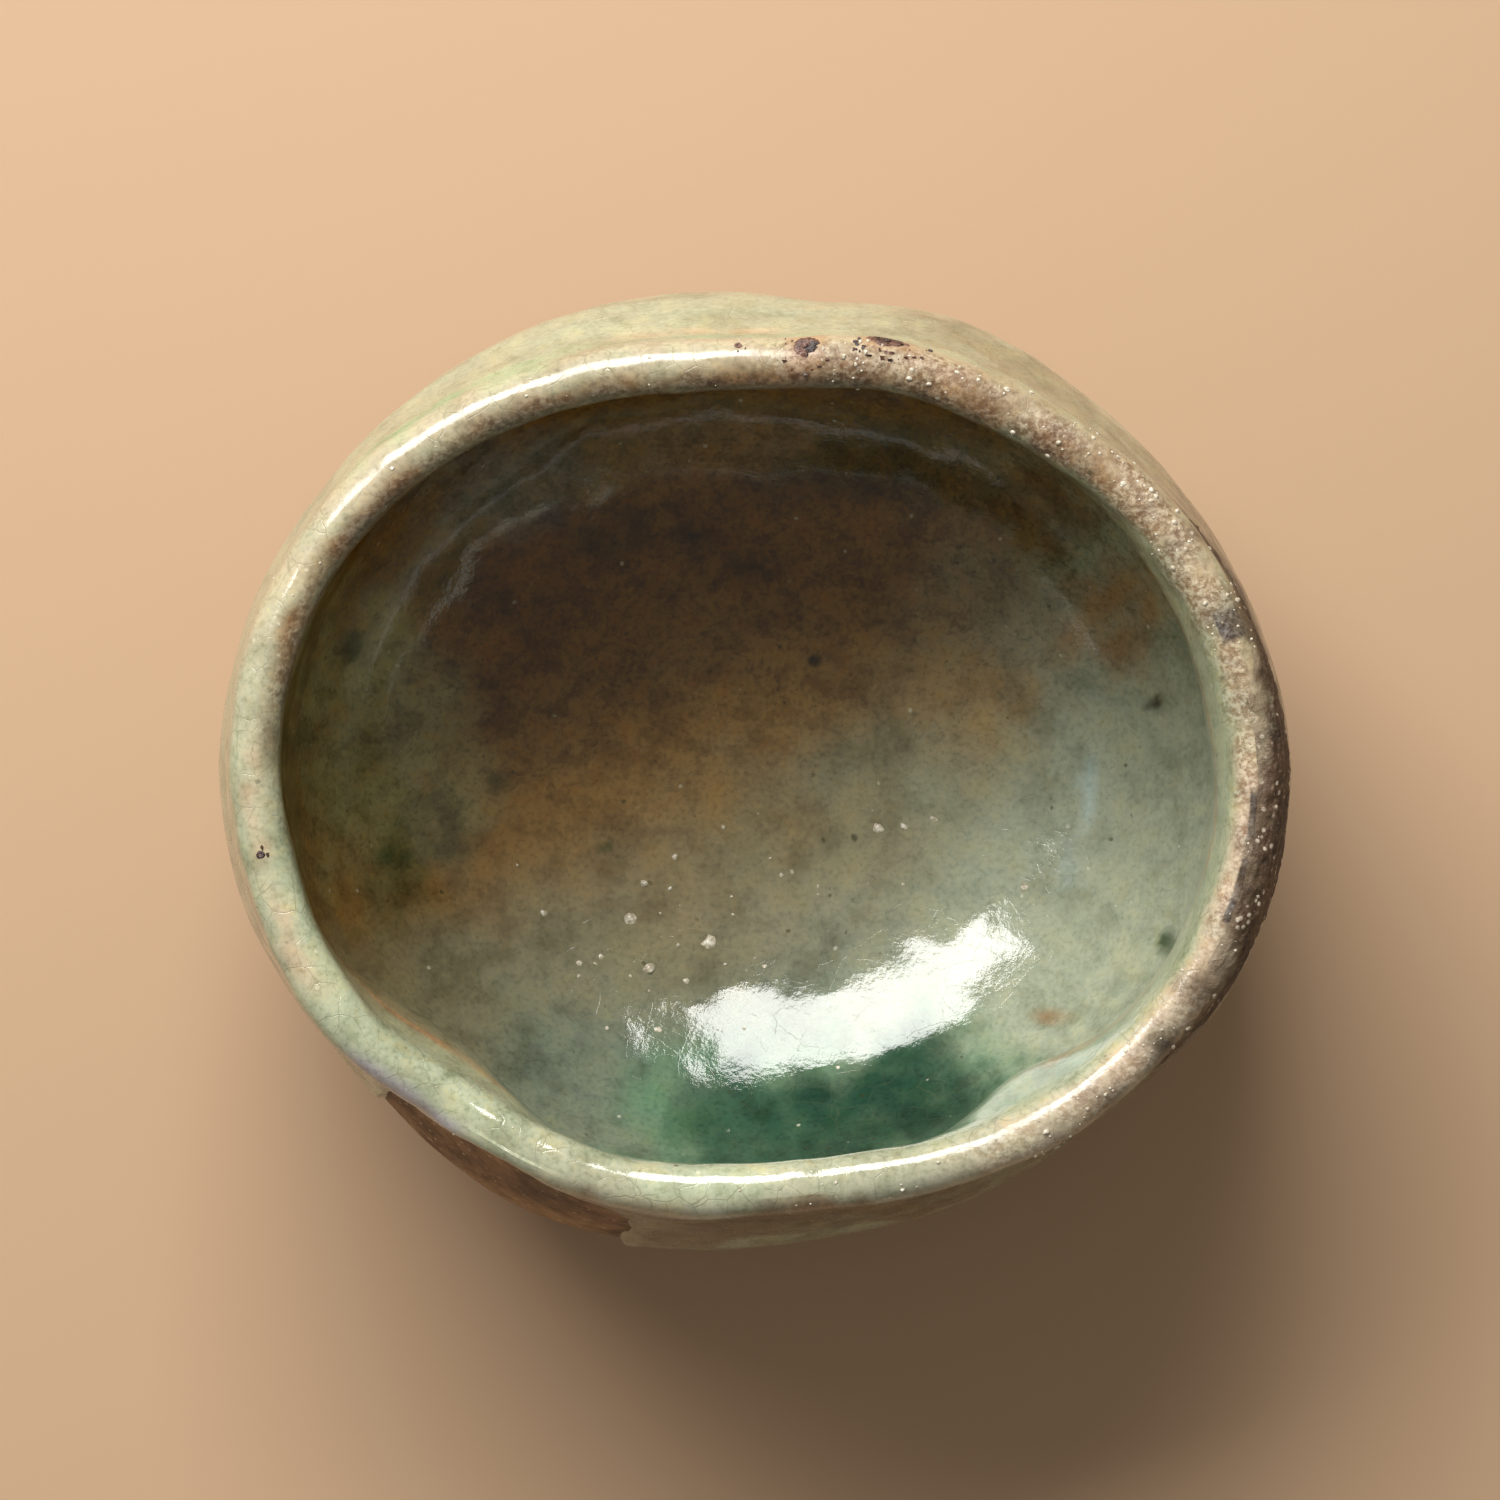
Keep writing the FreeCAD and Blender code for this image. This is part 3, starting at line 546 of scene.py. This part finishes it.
class Finish:
    """One material, built up node by node round a single glossy surface."""

    def __init__(self, name, **constants):
        self.material = bpy.data.materials.new(name)
        self.material.use_nodes = True
        self.tree = self.material.node_tree
        self.tree.nodes.clear()
        self.surface = self.tree.nodes.new("ShaderNodeBsdfPrincipled")
        output = self.tree.nodes.new("ShaderNodeOutputMaterial")
        self.tree.links.new(self.surface.outputs[0], output.inputs[0])
        for socket, value in constants.items():
            self.surface.inputs[socket.replace("_", " ")].default_value = value
        place = self.node("ShaderNodeTexCoord", out="Object")
        self.place = self.node("ShaderNodeVectorMath", {"operation": "SCALE"}, {0: place, "Scale": 1000.0})

    def node(self, kind, settings=None, sockets=None, out=0):
        made = self.tree.nodes.new(kind)
        for name, value in (settings or {}).items():
            setattr(made, name, value)
        for name, value in (sockets or {}).items():
            self.feed(made.inputs[name], value)
        return Wire(self, made.outputs[out])

    def feed(self, socket, value):
        if isinstance(value, Wire):
            self.tree.links.new(value.socket, socket)
        else:
            socket.default_value = value

    def end(self, **sockets):
        for name, value in sockets.items():
            self.feed(self.surface.inputs[name.replace("_", " ")], value)
        return self.material

    def read(self, name, out="Fac"):
        return self.node("ShaderNodeAttribute", {"attribute_name": name}, out=out)

    def cloud(self, size, detail=3.0, roughness=0.5, shift=0.0, place=None):
        """Noise from 0 to 1 with lumps size mm across."""
        at = self.node(
            "ShaderNodeVectorMath", {"operation": "ADD"}, {0: place or self.place, 1: (shift, shift, shift)}
        )
        return self.node(
            "ShaderNodeTexNoise",
            {"noise_dimensions": "3D"},
            {"Vector": at, "Scale": 1.0 / size, "Detail": detail, "Roughness": roughness},
        )

    def cells(self, size, feature="F1", place=None):
        """Distance to the nearest cell's middle, or to the edge between cells, in cells size mm across."""
        sockets = {"Vector": place or self.place, "Scale": 1.0 / size}
        return self.node("ShaderNodeTexVoronoi", {"feature": feature}, sockets)

    def stretched(self, place, scale):
        return self.node("ShaderNodeVectorMath", {"operation": "MULTIPLY"}, {0: place, 1: scale})

    def warped(self, amount, size, shift=0.0):
        """The object's own coordinates, pushed about by noise."""
        at = self.node(
            "ShaderNodeVectorMath", {"operation": "ADD"}, {0: self.place, 1: (shift, shift, shift)}
        )
        push = self.node(
            "ShaderNodeTexNoise", {}, {"Vector": at, "Scale": 1.0 / size, "Detail": 2.0}, out="Color"
        )
        push = self.node("ShaderNodeVectorMath", {"operation": "SUBTRACT"}, {0: push, 1: (0.5, 0.5, 0.5)})
        push = self.node("ShaderNodeVectorMath", {"operation": "SCALE"}, {0: push, "Scale": amount})
        return self.node("ShaderNodeVectorMath", {"operation": "ADD"}, {0: self.place, 1: push})

    def step(self, low, high, value):
        """0 below low, 1 above high, smooth between; low may be the larger."""
        flip = low > high
        made = self.node(
            "ShaderNodeMapRange",
            {"interpolation_type": "SMOOTHSTEP"},
            {"Value": value, "From Min": min(low, high), "From Max": max(low, high)},
        )
        return 1.0 - made if flip else made

    def mix(self, amount, first, second, how="MIX"):
        """Mixes two colours; a colour may be a wire or a #rrggbb code."""
        first, second = [c if isinstance(c, Wire) else (*linear(c), 1.0) for c in (first, second)]
        return self.node(
            "ShaderNodeMix",
            {"data_type": "RGBA", "blend_type": how},
            {"Factor": amount, 6: first, 7: second},
            out=2,
        )

    def tint(self, amount, colour, code):
        """Darkens or lightens a colour softly towards another."""
        return self.mix(amount, colour, code, "SOFT_LIGHT")

    def bump(self, height, distance, strength=1.0):
        """A normal from a height in mm."""
        return self.node(
            "ShaderNodeBump", {}, {"Height": height, "Distance": distance * MM, "Strength": strength}
        )


def ash_glaze(name):
    """The wood-ash glaze: painted melt (which holds a few painted reflections), mottled, crazed, flecked,
    and sandy where the kiln left it so.
    """
    finish = Finish(name, IOR=1.52, Coat_Weight=0.2, Coat_Roughness=0.05)
    step, cloud, tint = finish.step, finish.cloud, finish.tint
    colour, sand, past = finish.read("melt", "Color"), finish.read("sand"), finish.read("past")
    inside, crazed, mottled = finish.read("inside"), finish.read("crazed"), finish.read("mottled")

    clouds = cloud(7.0, 4.0, 0.6)
    curds = cloud(2.2, 4.0, 0.6, 31.0)
    fine = cloud(0.7, 3.0, 0.6, 47.0)
    veins = cloud(4.0, 6.0, 0.72, 23.0, finish.warped(4.0, 6.0, 2.0))
    colour = tint(step(0.45, 0.7, clouds) * 0.3, colour, "#dccfae")
    colour = tint(step(0.55, 0.3, clouds) * 0.45, colour, "#3d3018")
    colour = tint(step(0.5, 0.75, curds) * 0.3 * mottled, colour, "#e0d6bf")
    colour = tint(step(0.5, 0.25, curds) * 0.35 * mottled, colour, "#3c3a22")
    colour = tint(step(0.5, 0.32, fine) * (0.16 + 0.3 * mottled), colour, "#33361c")
    colour = tint(step(0.5, 0.68, fine) * (0.12 + 0.22 * mottled), colour, "#f0e2c4")
    colour = tint(step(0.5, 0.42, veins) * 0.42 * inside * mottled, colour, "#3a260c")
    colour = tint(step(0.52, 0.62, veins) * 0.35 * inside * mottled, colour, "#d8aa60")

    edges = finish.cells(3.6, "DISTANCE_TO_EDGE", finish.warped(1.8, 4.0))
    faint = step(0.35, 0.62, cloud(6.0, 2.0, 0.5, 19.0))
    cracks = step(0.024, 0.008, edges) * crazed * faint
    colour = finish.mix(cracks * 0.38, colour, "#7a7458")

    runs = cloud(2.6, 3.0, 0.55, 15.0, finish.stretched(finish.place, (1.0, 1.0, 0.22)))
    walls = step(4.0, 9.0, past) * step(60.0, 44.0, past) + step(-4.0, -9.0, past)
    colour = tint(step(0.5, 0.34, runs) * walls * 0.3, colour, "#4b4a2a")
    colour = tint(step(0.5, 0.68, runs) * walls * 0.35, colour, "#e4dcc0")

    grains = finish.cells(0.9, place=finish.warped(0.6, 1.2, 9.0))
    coarse = cloud(0.8, 3.0, 0.7, 55.0)
    dark_sand = finish.mix(0.8, colour, "#9a7550", "MULTIPLY")
    pale_sand = finish.mix(0.12, colour, "#f2e9da")
    sandy_colour = finish.mix(step(0.38, 0.66, coarse), dark_sand, pale_sand)
    white = step(0.2, 0.1, grains) * step(0.58, 0.66, cloud(2.5, 2.0, 0.5, 91.0))
    sandy_colour = finish.mix(white * 0.8, sandy_colour, "#efe6d6")
    colour = finish.mix(sand * 0.9, colour, sandy_colour)

    flecks = step(0.11, 0.05, finish.cells(6.0, place=finish.warped(0.8, 1.6, 4.0)))
    flecks = flecks * step(0.56, 0.66, cloud(8.0, 2.0, 0.5, 77.0))
    colour = finish.mix(flecks * (0.25 + 0.5 * inside), colour, "#2b3318")
    specks = step(0.17, 0.1, finish.cells(2.3, place=finish.warped(0.5, 0.8, 6.0)))
    specks = specks * step(0.56, 0.62, cloud(3.0, 2.0, 0.5, 83.0))
    colour = finish.mix(specks * (0.15 + 0.45 * inside), colour, "#353417")
    bubbles = step(0.12, 0.07, finish.cells(2.9, place=finish.warped(0.5, 0.8, 8.0)))
    bubbles = bubbles * step(0.54, 0.62, cloud(5.0, 2.0, 0.5, 87.0))
    colour = finish.mix(bubbles * 0.4, colour, "#e6e2cc")

    height = fine * 0.03 + curds * 0.1 + clouds * 0.12 - cracks * 0.04
    height = height + sand * (coarse * 0.26 - grains * 0.08)
    dull = step(0.35, 0.65, cloud(3.0, 3.0, 0.6, 63.0))
    roughness = 0.07 + sand * 0.35 + (1.0 - inside) * (0.08 + dull * 0.16) + inside * dull * 0.03
    return finish.end(Base_Color=colour, Roughness=roughness, Normal=finish.bump(height, 1.0, 0.6))


def bare_clay(name):
    """Brown stoneware clay, toasted in patches, with sand, dark grains and faint turning marks in it."""
    finish = Finish(name, IOR=1.45)
    toast = finish.cloud(11.0, 5.0, 0.62)
    blush = finish.cloud(3.2, 4.0, 0.6, 29.0)
    grit = finish.cloud(0.6, 3.0, 0.7, 12.0)
    stones = finish.cells(1.9, place=finish.warped(0.6, 1.0))
    marks = finish.cloud(1.1, 2.0, 0.5, 5.0, finish.stretched(finish.warped(2.5, 7.0), (0.05, 0.05, 1.0)))
    colour = finish.mix(finish.step(0.36, 0.64, toast), "#6f5138", "#a07c54")
    colour = finish.mix(finish.step(0.42, 0.66, blush) * 0.4, colour, "#b08d66")
    colour = finish.mix(finish.step(0.5, 0.34, blush) * 0.35, colour, "#4f3928")
    colour = finish.mix(finish.step(0.56, 0.72, grit) * 0.4, colour, "#bf9f78")
    colour = finish.mix(finish.step(0.44, 0.3, grit) * 0.45, colour, "#3f2b1c")
    colour = finish.mix(finish.step(0.16, 0.1, stones) * 0.7, colour, "#d0bd9c")
    colour = finish.mix(finish.read("scorch") * 0.75, colour, "#2e2019")
    height = grit * 0.22 + blush * 0.25 + marks * 0.22 - stones * 0.1
    return finish.end(Base_Color=colour, Roughness=0.68, Normal=finish.bump(height, 1.0, 0.8))


def burnt_ash(name):
    """Scorched, granular ash: brown-black with pale grains, and browner where it thins into the glaze."""
    finish = Finish(name, IOR=1.45)
    grit = finish.cloud(0.9, 4.0, 0.7)
    wide = finish.cloud(6.0, 3.0, 0.6, 8.0)
    colour = finish.mix(finish.step(0.35, 0.65, wide), "#2a1e17", "#54402f")
    colour = finish.mix(finish.step(0.52, 0.7, grit) * 0.7, colour, "#8d7660")
    pale = finish.step(0.3, 0.16, finish.cells(1.3))
    colour = finish.mix(pale * finish.step(0.5, 0.6, wide) * 0.8, colour, "#d9cdb8")
    burnt = finish.step(0.3, 0.75, finish.read("burnt") + (grit - 0.5) * 1.2 + (wide - 0.5) * 0.6)
    colour = finish.mix(burnt, finish.mix(0.7, finish.read("melt", "Color"), "#66543c"), colour)
    return finish.end(Base_Color=colour, Roughness=0.62, Normal=finish.bump(grit, 0.4, 0.8))


def iron_melt(name):
    """Iron that boiled up through the glaze: dark and rusty, with a dull shine."""
    finish = Finish(name, IOR=1.6)
    grit = finish.cloud(0.5, 4.0, 0.7)
    wide = finish.cloud(1.6, 3.0, 0.6, 8.0)
    colour = finish.mix(finish.step(0.4, 0.62, wide), "#2a1a18", "#6d4a3c")
    colour = finish.mix(finish.step(0.55, 0.7, grit) * 0.6, colour, "#8d6a55")
    return finish.end(Base_Color=colour, Roughness=0.4, Normal=finish.bump(grit, 0.25, 0.7))


def feldspar(name):
    """Half-melted feldspar, milky and glassy."""
    finish = Finish(name, IOR=1.5)
    cloud = finish.cloud(0.5, 3.0, 0.6)
    colour = finish.mix(finish.step(0.35, 0.65, cloud), "#a79a80", "#dcd6c6")
    return finish.end(Base_Color=colour, Roughness=0.3, Normal=finish.bump(cloud, 0.1, 0.5))


# ---------------------------------------------------------------- making the pieces


def pressed(skin, name, spots, offset):
    """A copy of a skin whose points are moved along their normals by offset(spot), in mm."""
    piece = copy_of(skin, name)
    normals = [point.normal.copy() for point in piece.data.vertices]
    for point, spot, normal in zip(piece.data.vertices, spots, normals):
        point.co = point.co + normal * (offset(spot) * MM)
    return piece


def spots_of(piece):
    past = [0.0] * len(piece.data.vertices)
    piece.data.attributes["past"].data.foreach_get("value", past)
    return [Spot(point.co, past[i]) for i, point in enumerate(piece.data.vertices)]


def paint_glaze(piece, spots):
    colours, sand, inside, crazed, mottled = [], [], [], [], []
    for spot in spots:
        # the melt colour also carries the painted reflections on the inside walls
        colours.extend(melt_and_reflection_colour(spot) + [1.0])
        sand.append(sandy(spot))
        inside.append(ease(-2, 2, spot.past))
        crazed.append((1 - 0.75 * ease(3, 8, spot.past)) * (1 - 0.8 * sand[-1]))
        calm = ease(-24, 16, -spot.y + 0.3 * spot.x) if spot.past > 4 else 0.45
        mottled.append(1 - 0.72 * calm)
    paint(
        piece,
        melt=("FLOAT_COLOR", colours),
        sand=("FLOAT", sand),
        inside=("FLOAT", inside),
        crazed=("FLOAT", crazed),
        mottled=("FLOAT", mottled),
    )


def cut_from(skin, name, spots, wanted):
    """A copy of the part of a skin where wanted(spot) holds at every corner of a face."""
    piece = copy_of(skin, name)
    keep = [wanted(spot) for spot in spots]
    use(piece)
    bpy.ops.object.mode_set(mode="EDIT")
    bpy.ops.mesh.select_mode(type="FACE")
    bpy.ops.mesh.select_all(action="DESELECT")
    mesh = bmesh.from_edit_mesh(piece.data)
    for face in mesh.faces:
        face.select = not all(keep[point.index] for point in face.verts)
    bmesh.update_edit_mesh(piece.data)
    bpy.ops.mesh.delete(type="FACE")
    bpy.ops.mesh.select_mode(type="VERT")
    bpy.ops.object.mode_set(mode="OBJECT")
    return piece


def settle(piece, material, node, angle=35):
    """Gives a piece its finish and smooth faces, hangs it under the root body and hides the CAD node it
    stands in for.
    """
    use(piece)
    bpy.ops.object.shade_smooth_by_angle(angle=math.radians(angle))
    piece.data.materials.clear()
    piece.data.materials.append(material)
    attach(piece, "root")
    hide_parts(node)


# The clay's skin and the glazed skin over it, which every piece but the foot is made from.
skin = throw("thrown_skin", cad_skin("clay_body"))
spots = spots_of(skin)
glazed = pressed(skin, "glazed_skin", spots, lambda spot: hand_marks(spot) + coat_thickness(spot))
paint_glaze(glazed, spots)
LIP_POINTS = [i for i, spot in enumerate(spots) if abs(spot.past) < 6.0]
rim = LIP_ROUND * math.pi / 2 + SEAM


def dip(name, node, wanted):
    """One coat of glaze, as a closed shell."""
    piece = cut_from(glazed, name, spots, lambda spot: wanted(spot) and inside_coat_edge(spot) > -1.2)
    finish_with(piece, "SOLIDIFY", thickness=0.5 * MM, offset=-1.0)
    settle(piece, ash_glaze(name + "_glaze"), node)


def clay_wall():
    """The thrown clay, scorched in patches where it is bare and along the coats' edge."""
    piece = pressed(skin, "thrown_clay_wall", spots, hand_marks)
    scorch = []
    for spot in spots:
        edge = inside_coat_edge(spot)
        contact = ease(-1.6, -0.3, edge) * (0.6 + 0.4 * rough(spot.place, 4.0, 91.0))
        patches = 0.5 * ease(0.0, 0.4, rough(spot.place, 11.0, 92.0)) * ease(0.0, -4.0, edge)
        scorch.append(max(contact, patches))
    paint(piece, scorch=("FLOAT", scorch))
    settle(piece, bare_clay("scraped_bare_clay"), "clay_body")


def pool():
    """The green glass that ran down and gathered at the front of the floor."""
    piece = cut_from(glazed, "gathered_green_glass", spots, lambda spot: pool_reach(spot) > -1.0)
    places = spots_of(piece)
    for point, spot in zip(piece.data.vertices, places):
        point.co = point.co + point.normal * (0.55 * ease(-0.6, 5.0, pool_reach(spot)) - 0.06) * MM
    finish_with(piece, "SOLIDIFY", thickness=0.25 * MM, offset=-1.0)
    settle(piece, ash_glaze("green_glass"), "green_glass_pool")


def crust():
    """The scorched ash that stuck to the right of the lip, in grains and blisters."""
    piece = cut_from(glazed, "scorched_ash_crust", spots, lambda spot: crust_reach(spot) > -1.5)
    finish_with(piece, "SUBSURF", levels=1, render_levels=1)
    places = spots_of(piece)
    paint(piece, burnt=("FLOAT", [ease(-0.6, 3.0, crust_reach(spot)) for spot in places]))
    for point, spot in zip(piece.data.vertices, places):
        grain = 0.5 + 0.5 * rough(spot.place, 1.1, 51.0) + 0.35 * rough(spot.place, 0.5, 52.0)
        thick = 0.5 * ease(-0.4, 1.6, crust_reach(spot)) * (0.25 + grain) - 0.1
        point.co = point.co + point.normal * thick * MM
    finish_with(piece, "SOLIDIFY", thickness=0.3 * MM, offset=-1.0)
    settle(piece, burnt_ash("burnt_ash"), "ash_crust", angle=50)


def nearest_spot(azimuth, past):
    """The glazed point nearest to an azimuth and a way past the crest."""

    def away(index):
        spot = spots[index]
        return math.hypot(turn_to(spot.azimuth, azimuth) * 0.95, spot.past - past)

    return min(LIP_POINTS, key=away)


def scar(azimuth, past, length, width):
    """One spot of iron that melted through the lip's glaze: a ragged, dished scab with a pinhole."""

    def reach_in(spot):
        across = turn_to(spot.azimuth, azimuth) * spot.radius * 0.01745 / length
        up = (spot.past - past) / width
        ragged = 0.22 * rough(spot.place, 0.9, azimuth) + 0.15 * rough(spot.place, 0.4, past)
        return 1 - math.hypot(across, up) + ragged

    piece = cut_from(glazed, "scar", spots, lambda spot: reach_in(spot) > -1.2)
    finish_with(piece, "SUBSURF", levels=3, render_levels=3)
    for point, spot in zip(piece.data.vertices, spots_of(piece)):
        deep = reach_in(spot)
        rise = 0.2 * ease(-0.05, 0.35, deep) - 0.12 * ease(0.4, 0.85, deep)
        rise += 0.04 * rough(spot.place, 0.35, 5.0) - 0.35 * ease(0.84, 0.97, deep) - 0.06
        point.co = point.co + point.normal * rise * MM
    finish_with(piece, "SOLIDIFY", thickness=0.2 * MM, offset=-1.0)
    return piece


def join(first, others, name):
    use(first)
    for other in others:
        other.select_set(True)
    bpy.ops.object.join()
    first.name = first.data.name = name
    return first


def iron_spots():
    scars = [
        scar(84.0, -1.7, 1.6, 1.4),
        scar(73.5, -3.2, 2.6, 1.3),
        scar(93.0, -1.9, 0.5, 0.45),
        scar(189.5, -0.4, 0.55, 0.5),
    ]
    piece = join(scars[0], scars[1:], "melted_iron_spots")
    settle(piece, iron_melt("melted_iron"), "iron_spots", angle=60)


SET_GRAINS = (  # x, y and radius of the grains that stand out of the floor, in mm
    (15.4, -7.7, 0.8), (18.7, -7.4, 0.5), (22.5, -6.4, 0.4), (34.1, -15.2, 0.6), (-14.9, -14.8, 0.6),
    (-16.8, -19.3, 0.7), (-14.2, -25.7, 0.8), (-6.5, -22.5, 0.8), (-27.8, -18.6, 0.5), (-13.0, -33.5, 0.5),
)


def grains():
    """White feldspar grains that stand out of the floor and the sandy parts of the lip."""
    pick = random.Random(7)
    bpy.ops.object.select_all(action="DESELECT")
    bpy.ops.mesh.primitive_uv_sphere_add(segments=8, ring_count=5, radius=1.0)
    pattern = bpy.context.object
    made = []

    def set_grain(point, normal, size):
        grain = copy_of(pattern, "grain")
        squash = Vector((pick.uniform(0.8, 1.3), pick.uniform(0.8, 1.2), pick.uniform(0.5, 0.8)))
        turn = normal.to_track_quat("Z", "Y")
        for v in grain.data.vertices:
            uneven = 1 + pick.uniform(-0.25, 0.2)
            shape = Vector((v.co.x * squash.x, v.co.y * squash.y, v.co.z * squash.z)) * size * uneven
            v.co = point + turn @ shape * MM
        made.append(grain)

    floor = BVHTree.FromObject(glazed, bpy.context.evaluated_depsgraph_get())
    loose = [(pick.gauss(-8, 14), pick.gauss(-20, 9), pick.uniform(0.15, 0.35)) for _ in range(26)]
    for x, y, size in SET_GRAINS + tuple(loose):
        hit, normal, _, _ = floor.ray_cast(AXIS + Vector((x, y, 60.0)) * MM, Vector((0, 0, -1)))
        set_grain(hit - normal * size * 0.25 * MM, normal, size * 1.15)
    for azimuth, half, past, spread, count, small, large in (
        (48, 34, -0.6, 1.7, 110, 0.14, 0.42),
        (8, 18, -1.8, 1.6, 90, 0.14, 0.38),
        (-28, 26, -2.2, 1.3, 90, 0.14, 0.45),
        (-60, 30, -1.2, 1.6, 26, 0.12, 0.34),
        (110, 50, 0.4, 1.8, 26, 0.1, 0.25),
        (210, 60, -1.0, 2.5, 14, 0.1, 0.2),
    ):
        for _ in range(count):
            index = nearest_spot(azimuth + pick.uniform(-half, half), pick.gauss(past, spread))
            point = glazed.data.vertices[index]
            if rough(spots[index].place, 5.0, 81.0) < pick.uniform(-0.3, 0.15):
                continue
            size = small + (large - small) * pick.random() ** 3
            set_grain(point.co, point.normal, size)
    bpy.data.objects.remove(pattern)
    piece = join(made[0], made[1:], "white_feldspar_grains")
    settle(piece, feldspar("white_feldspar"), "feldspar_grains", angle=60)


def foot():
    """The trimmed foot ring, lathed as a closed loop of rings."""
    outside = ((28.4, 7.0), (27.4, 3.6), (26.9, 0.9), (26.2, 0.0))
    inside = ((21.9, 0.0), (21.0, 0.9), (20.2, 4.0), (19.5, 7.0))
    profile = outside + inside
    bpy.ops.object.select_all(action="DESELECT")
    bpy.ops.mesh.primitive_circle_add(
        vertices=SPOKES, radius=profile[0][0] * MM, location=AXIS + Vector((0, 0, 7 * MM))
    )
    ring = bpy.context.object
    ring.name = ring.data.name = "trimmed_foot_ring"
    bpy.ops.object.transform_apply(location=True, rotation=False, scale=False)
    bpy.ops.object.mode_set(mode="EDIT")
    bpy.ops.mesh.select_all(action="SELECT")
    for (radius, level), (wider, higher) in zip(profile[1:], profile):
        bpy.ops.mesh.extrude_region_move()
        bpy.ops.transform.translate(value=(0, 0, (level - higher) * MM))
        bpy.ops.transform.resize(value=(radius / wider, radius / wider, 1.0), center_override=AXIS)
    bpy.ops.mesh.select_all(action="DESELECT")
    bpy.ops.mesh.select_non_manifold()
    bpy.ops.mesh.bridge_edge_loops()
    bpy.ops.mesh.select_all(action="SELECT")
    bpy.ops.mesh.normals_make_consistent(inside=False)
    bpy.ops.object.mode_set(mode="OBJECT")
    finish_with(ring, "BEVEL", width=0.5 * MM, segments=2, limit_method="ANGLE")
    paint(ring, scorch=("FLOAT", [0.0] * len(ring.data.vertices)))
    settle(ring, bare_clay("trimmed_foot_clay"), "foot_ring")


dip("outer_dip", "outside_glaze", lambda spot: -200 < spot.past < -rim + 0.3)
dip("lip_dip", "lip_glaze", lambda spot: -rim - 0.3 < spot.past < rim + 0.3)
dip("inner_dip", "inside_glaze", lambda spot: spot.past > rim - 0.3)
pool()
crust()
iron_spots()
grains()
clay_wall()
foot()
bpy.data.objects.remove(glazed)
bpy.data.objects.remove(skin)

# ---------------------------------------------------------------- the table, the light and the camera

bpy.ops.object.select_all(action="DESELECT")
bpy.ops.mesh.primitive_plane_add(size=6.0, location=(0, 0, 0))
table = bpy.context.object
table.name = "table"
table_top = Finish("plain_table", Roughness=0.75)
table.data.materials.append(table_top.end(Base_Color=(*linear("#b8997a"), 1.0)))

bpy.context.scene.view_settings.view_transform = "Standard"
world = bpy.data.worlds.new("room")
bpy.context.scene.world = world
world.use_nodes = True
world.node_tree.nodes["Background"].inputs["Color"].default_value = (1.0, 0.94, 0.86, 1.0)
world.node_tree.nodes["Background"].inputs["Strength"].default_value = 0.27


def window(name, azimuth, elevation, distance, width, height, power, colour):
    """A soft light of a window's size, in metres, facing the bowl."""
    light = bpy.data.lights.new(name, "AREA")
    light.shape, light.size, light.size_y = "RECTANGLE", width, height
    light.energy, light.color = power, colour
    lamp = bpy.data.objects.new(name, light)
    bpy.context.collection.objects.link(lamp)
    a, e = math.radians(azimuth), math.radians(elevation)
    away = Vector((math.cos(a) * math.cos(e), math.sin(a) * math.cos(e), math.sin(e)))
    lamp.location = away * distance
    lamp.rotation_euler = away.to_track_quat("Z", "Y").to_euler()


window(
    "window", azimuth=111, elevation=48, distance=1.0, width=0.74, height=0.5, power=16.5,
    colour=(1.0, 0.985, 0.96),
)

# The camera is level above the bowl and looks straight down.
camera_data = bpy.data.cameras.new("camera")
camera_data.sensor_width, camera_data.lens = 36.0, 141.1
camera = bpy.data.objects.new("camera", camera_data)
camera.location = (-0.0007, 0.00265, 0.775)
bpy.context.collection.objects.link(camera)
bpy.context.scene.camera = camera
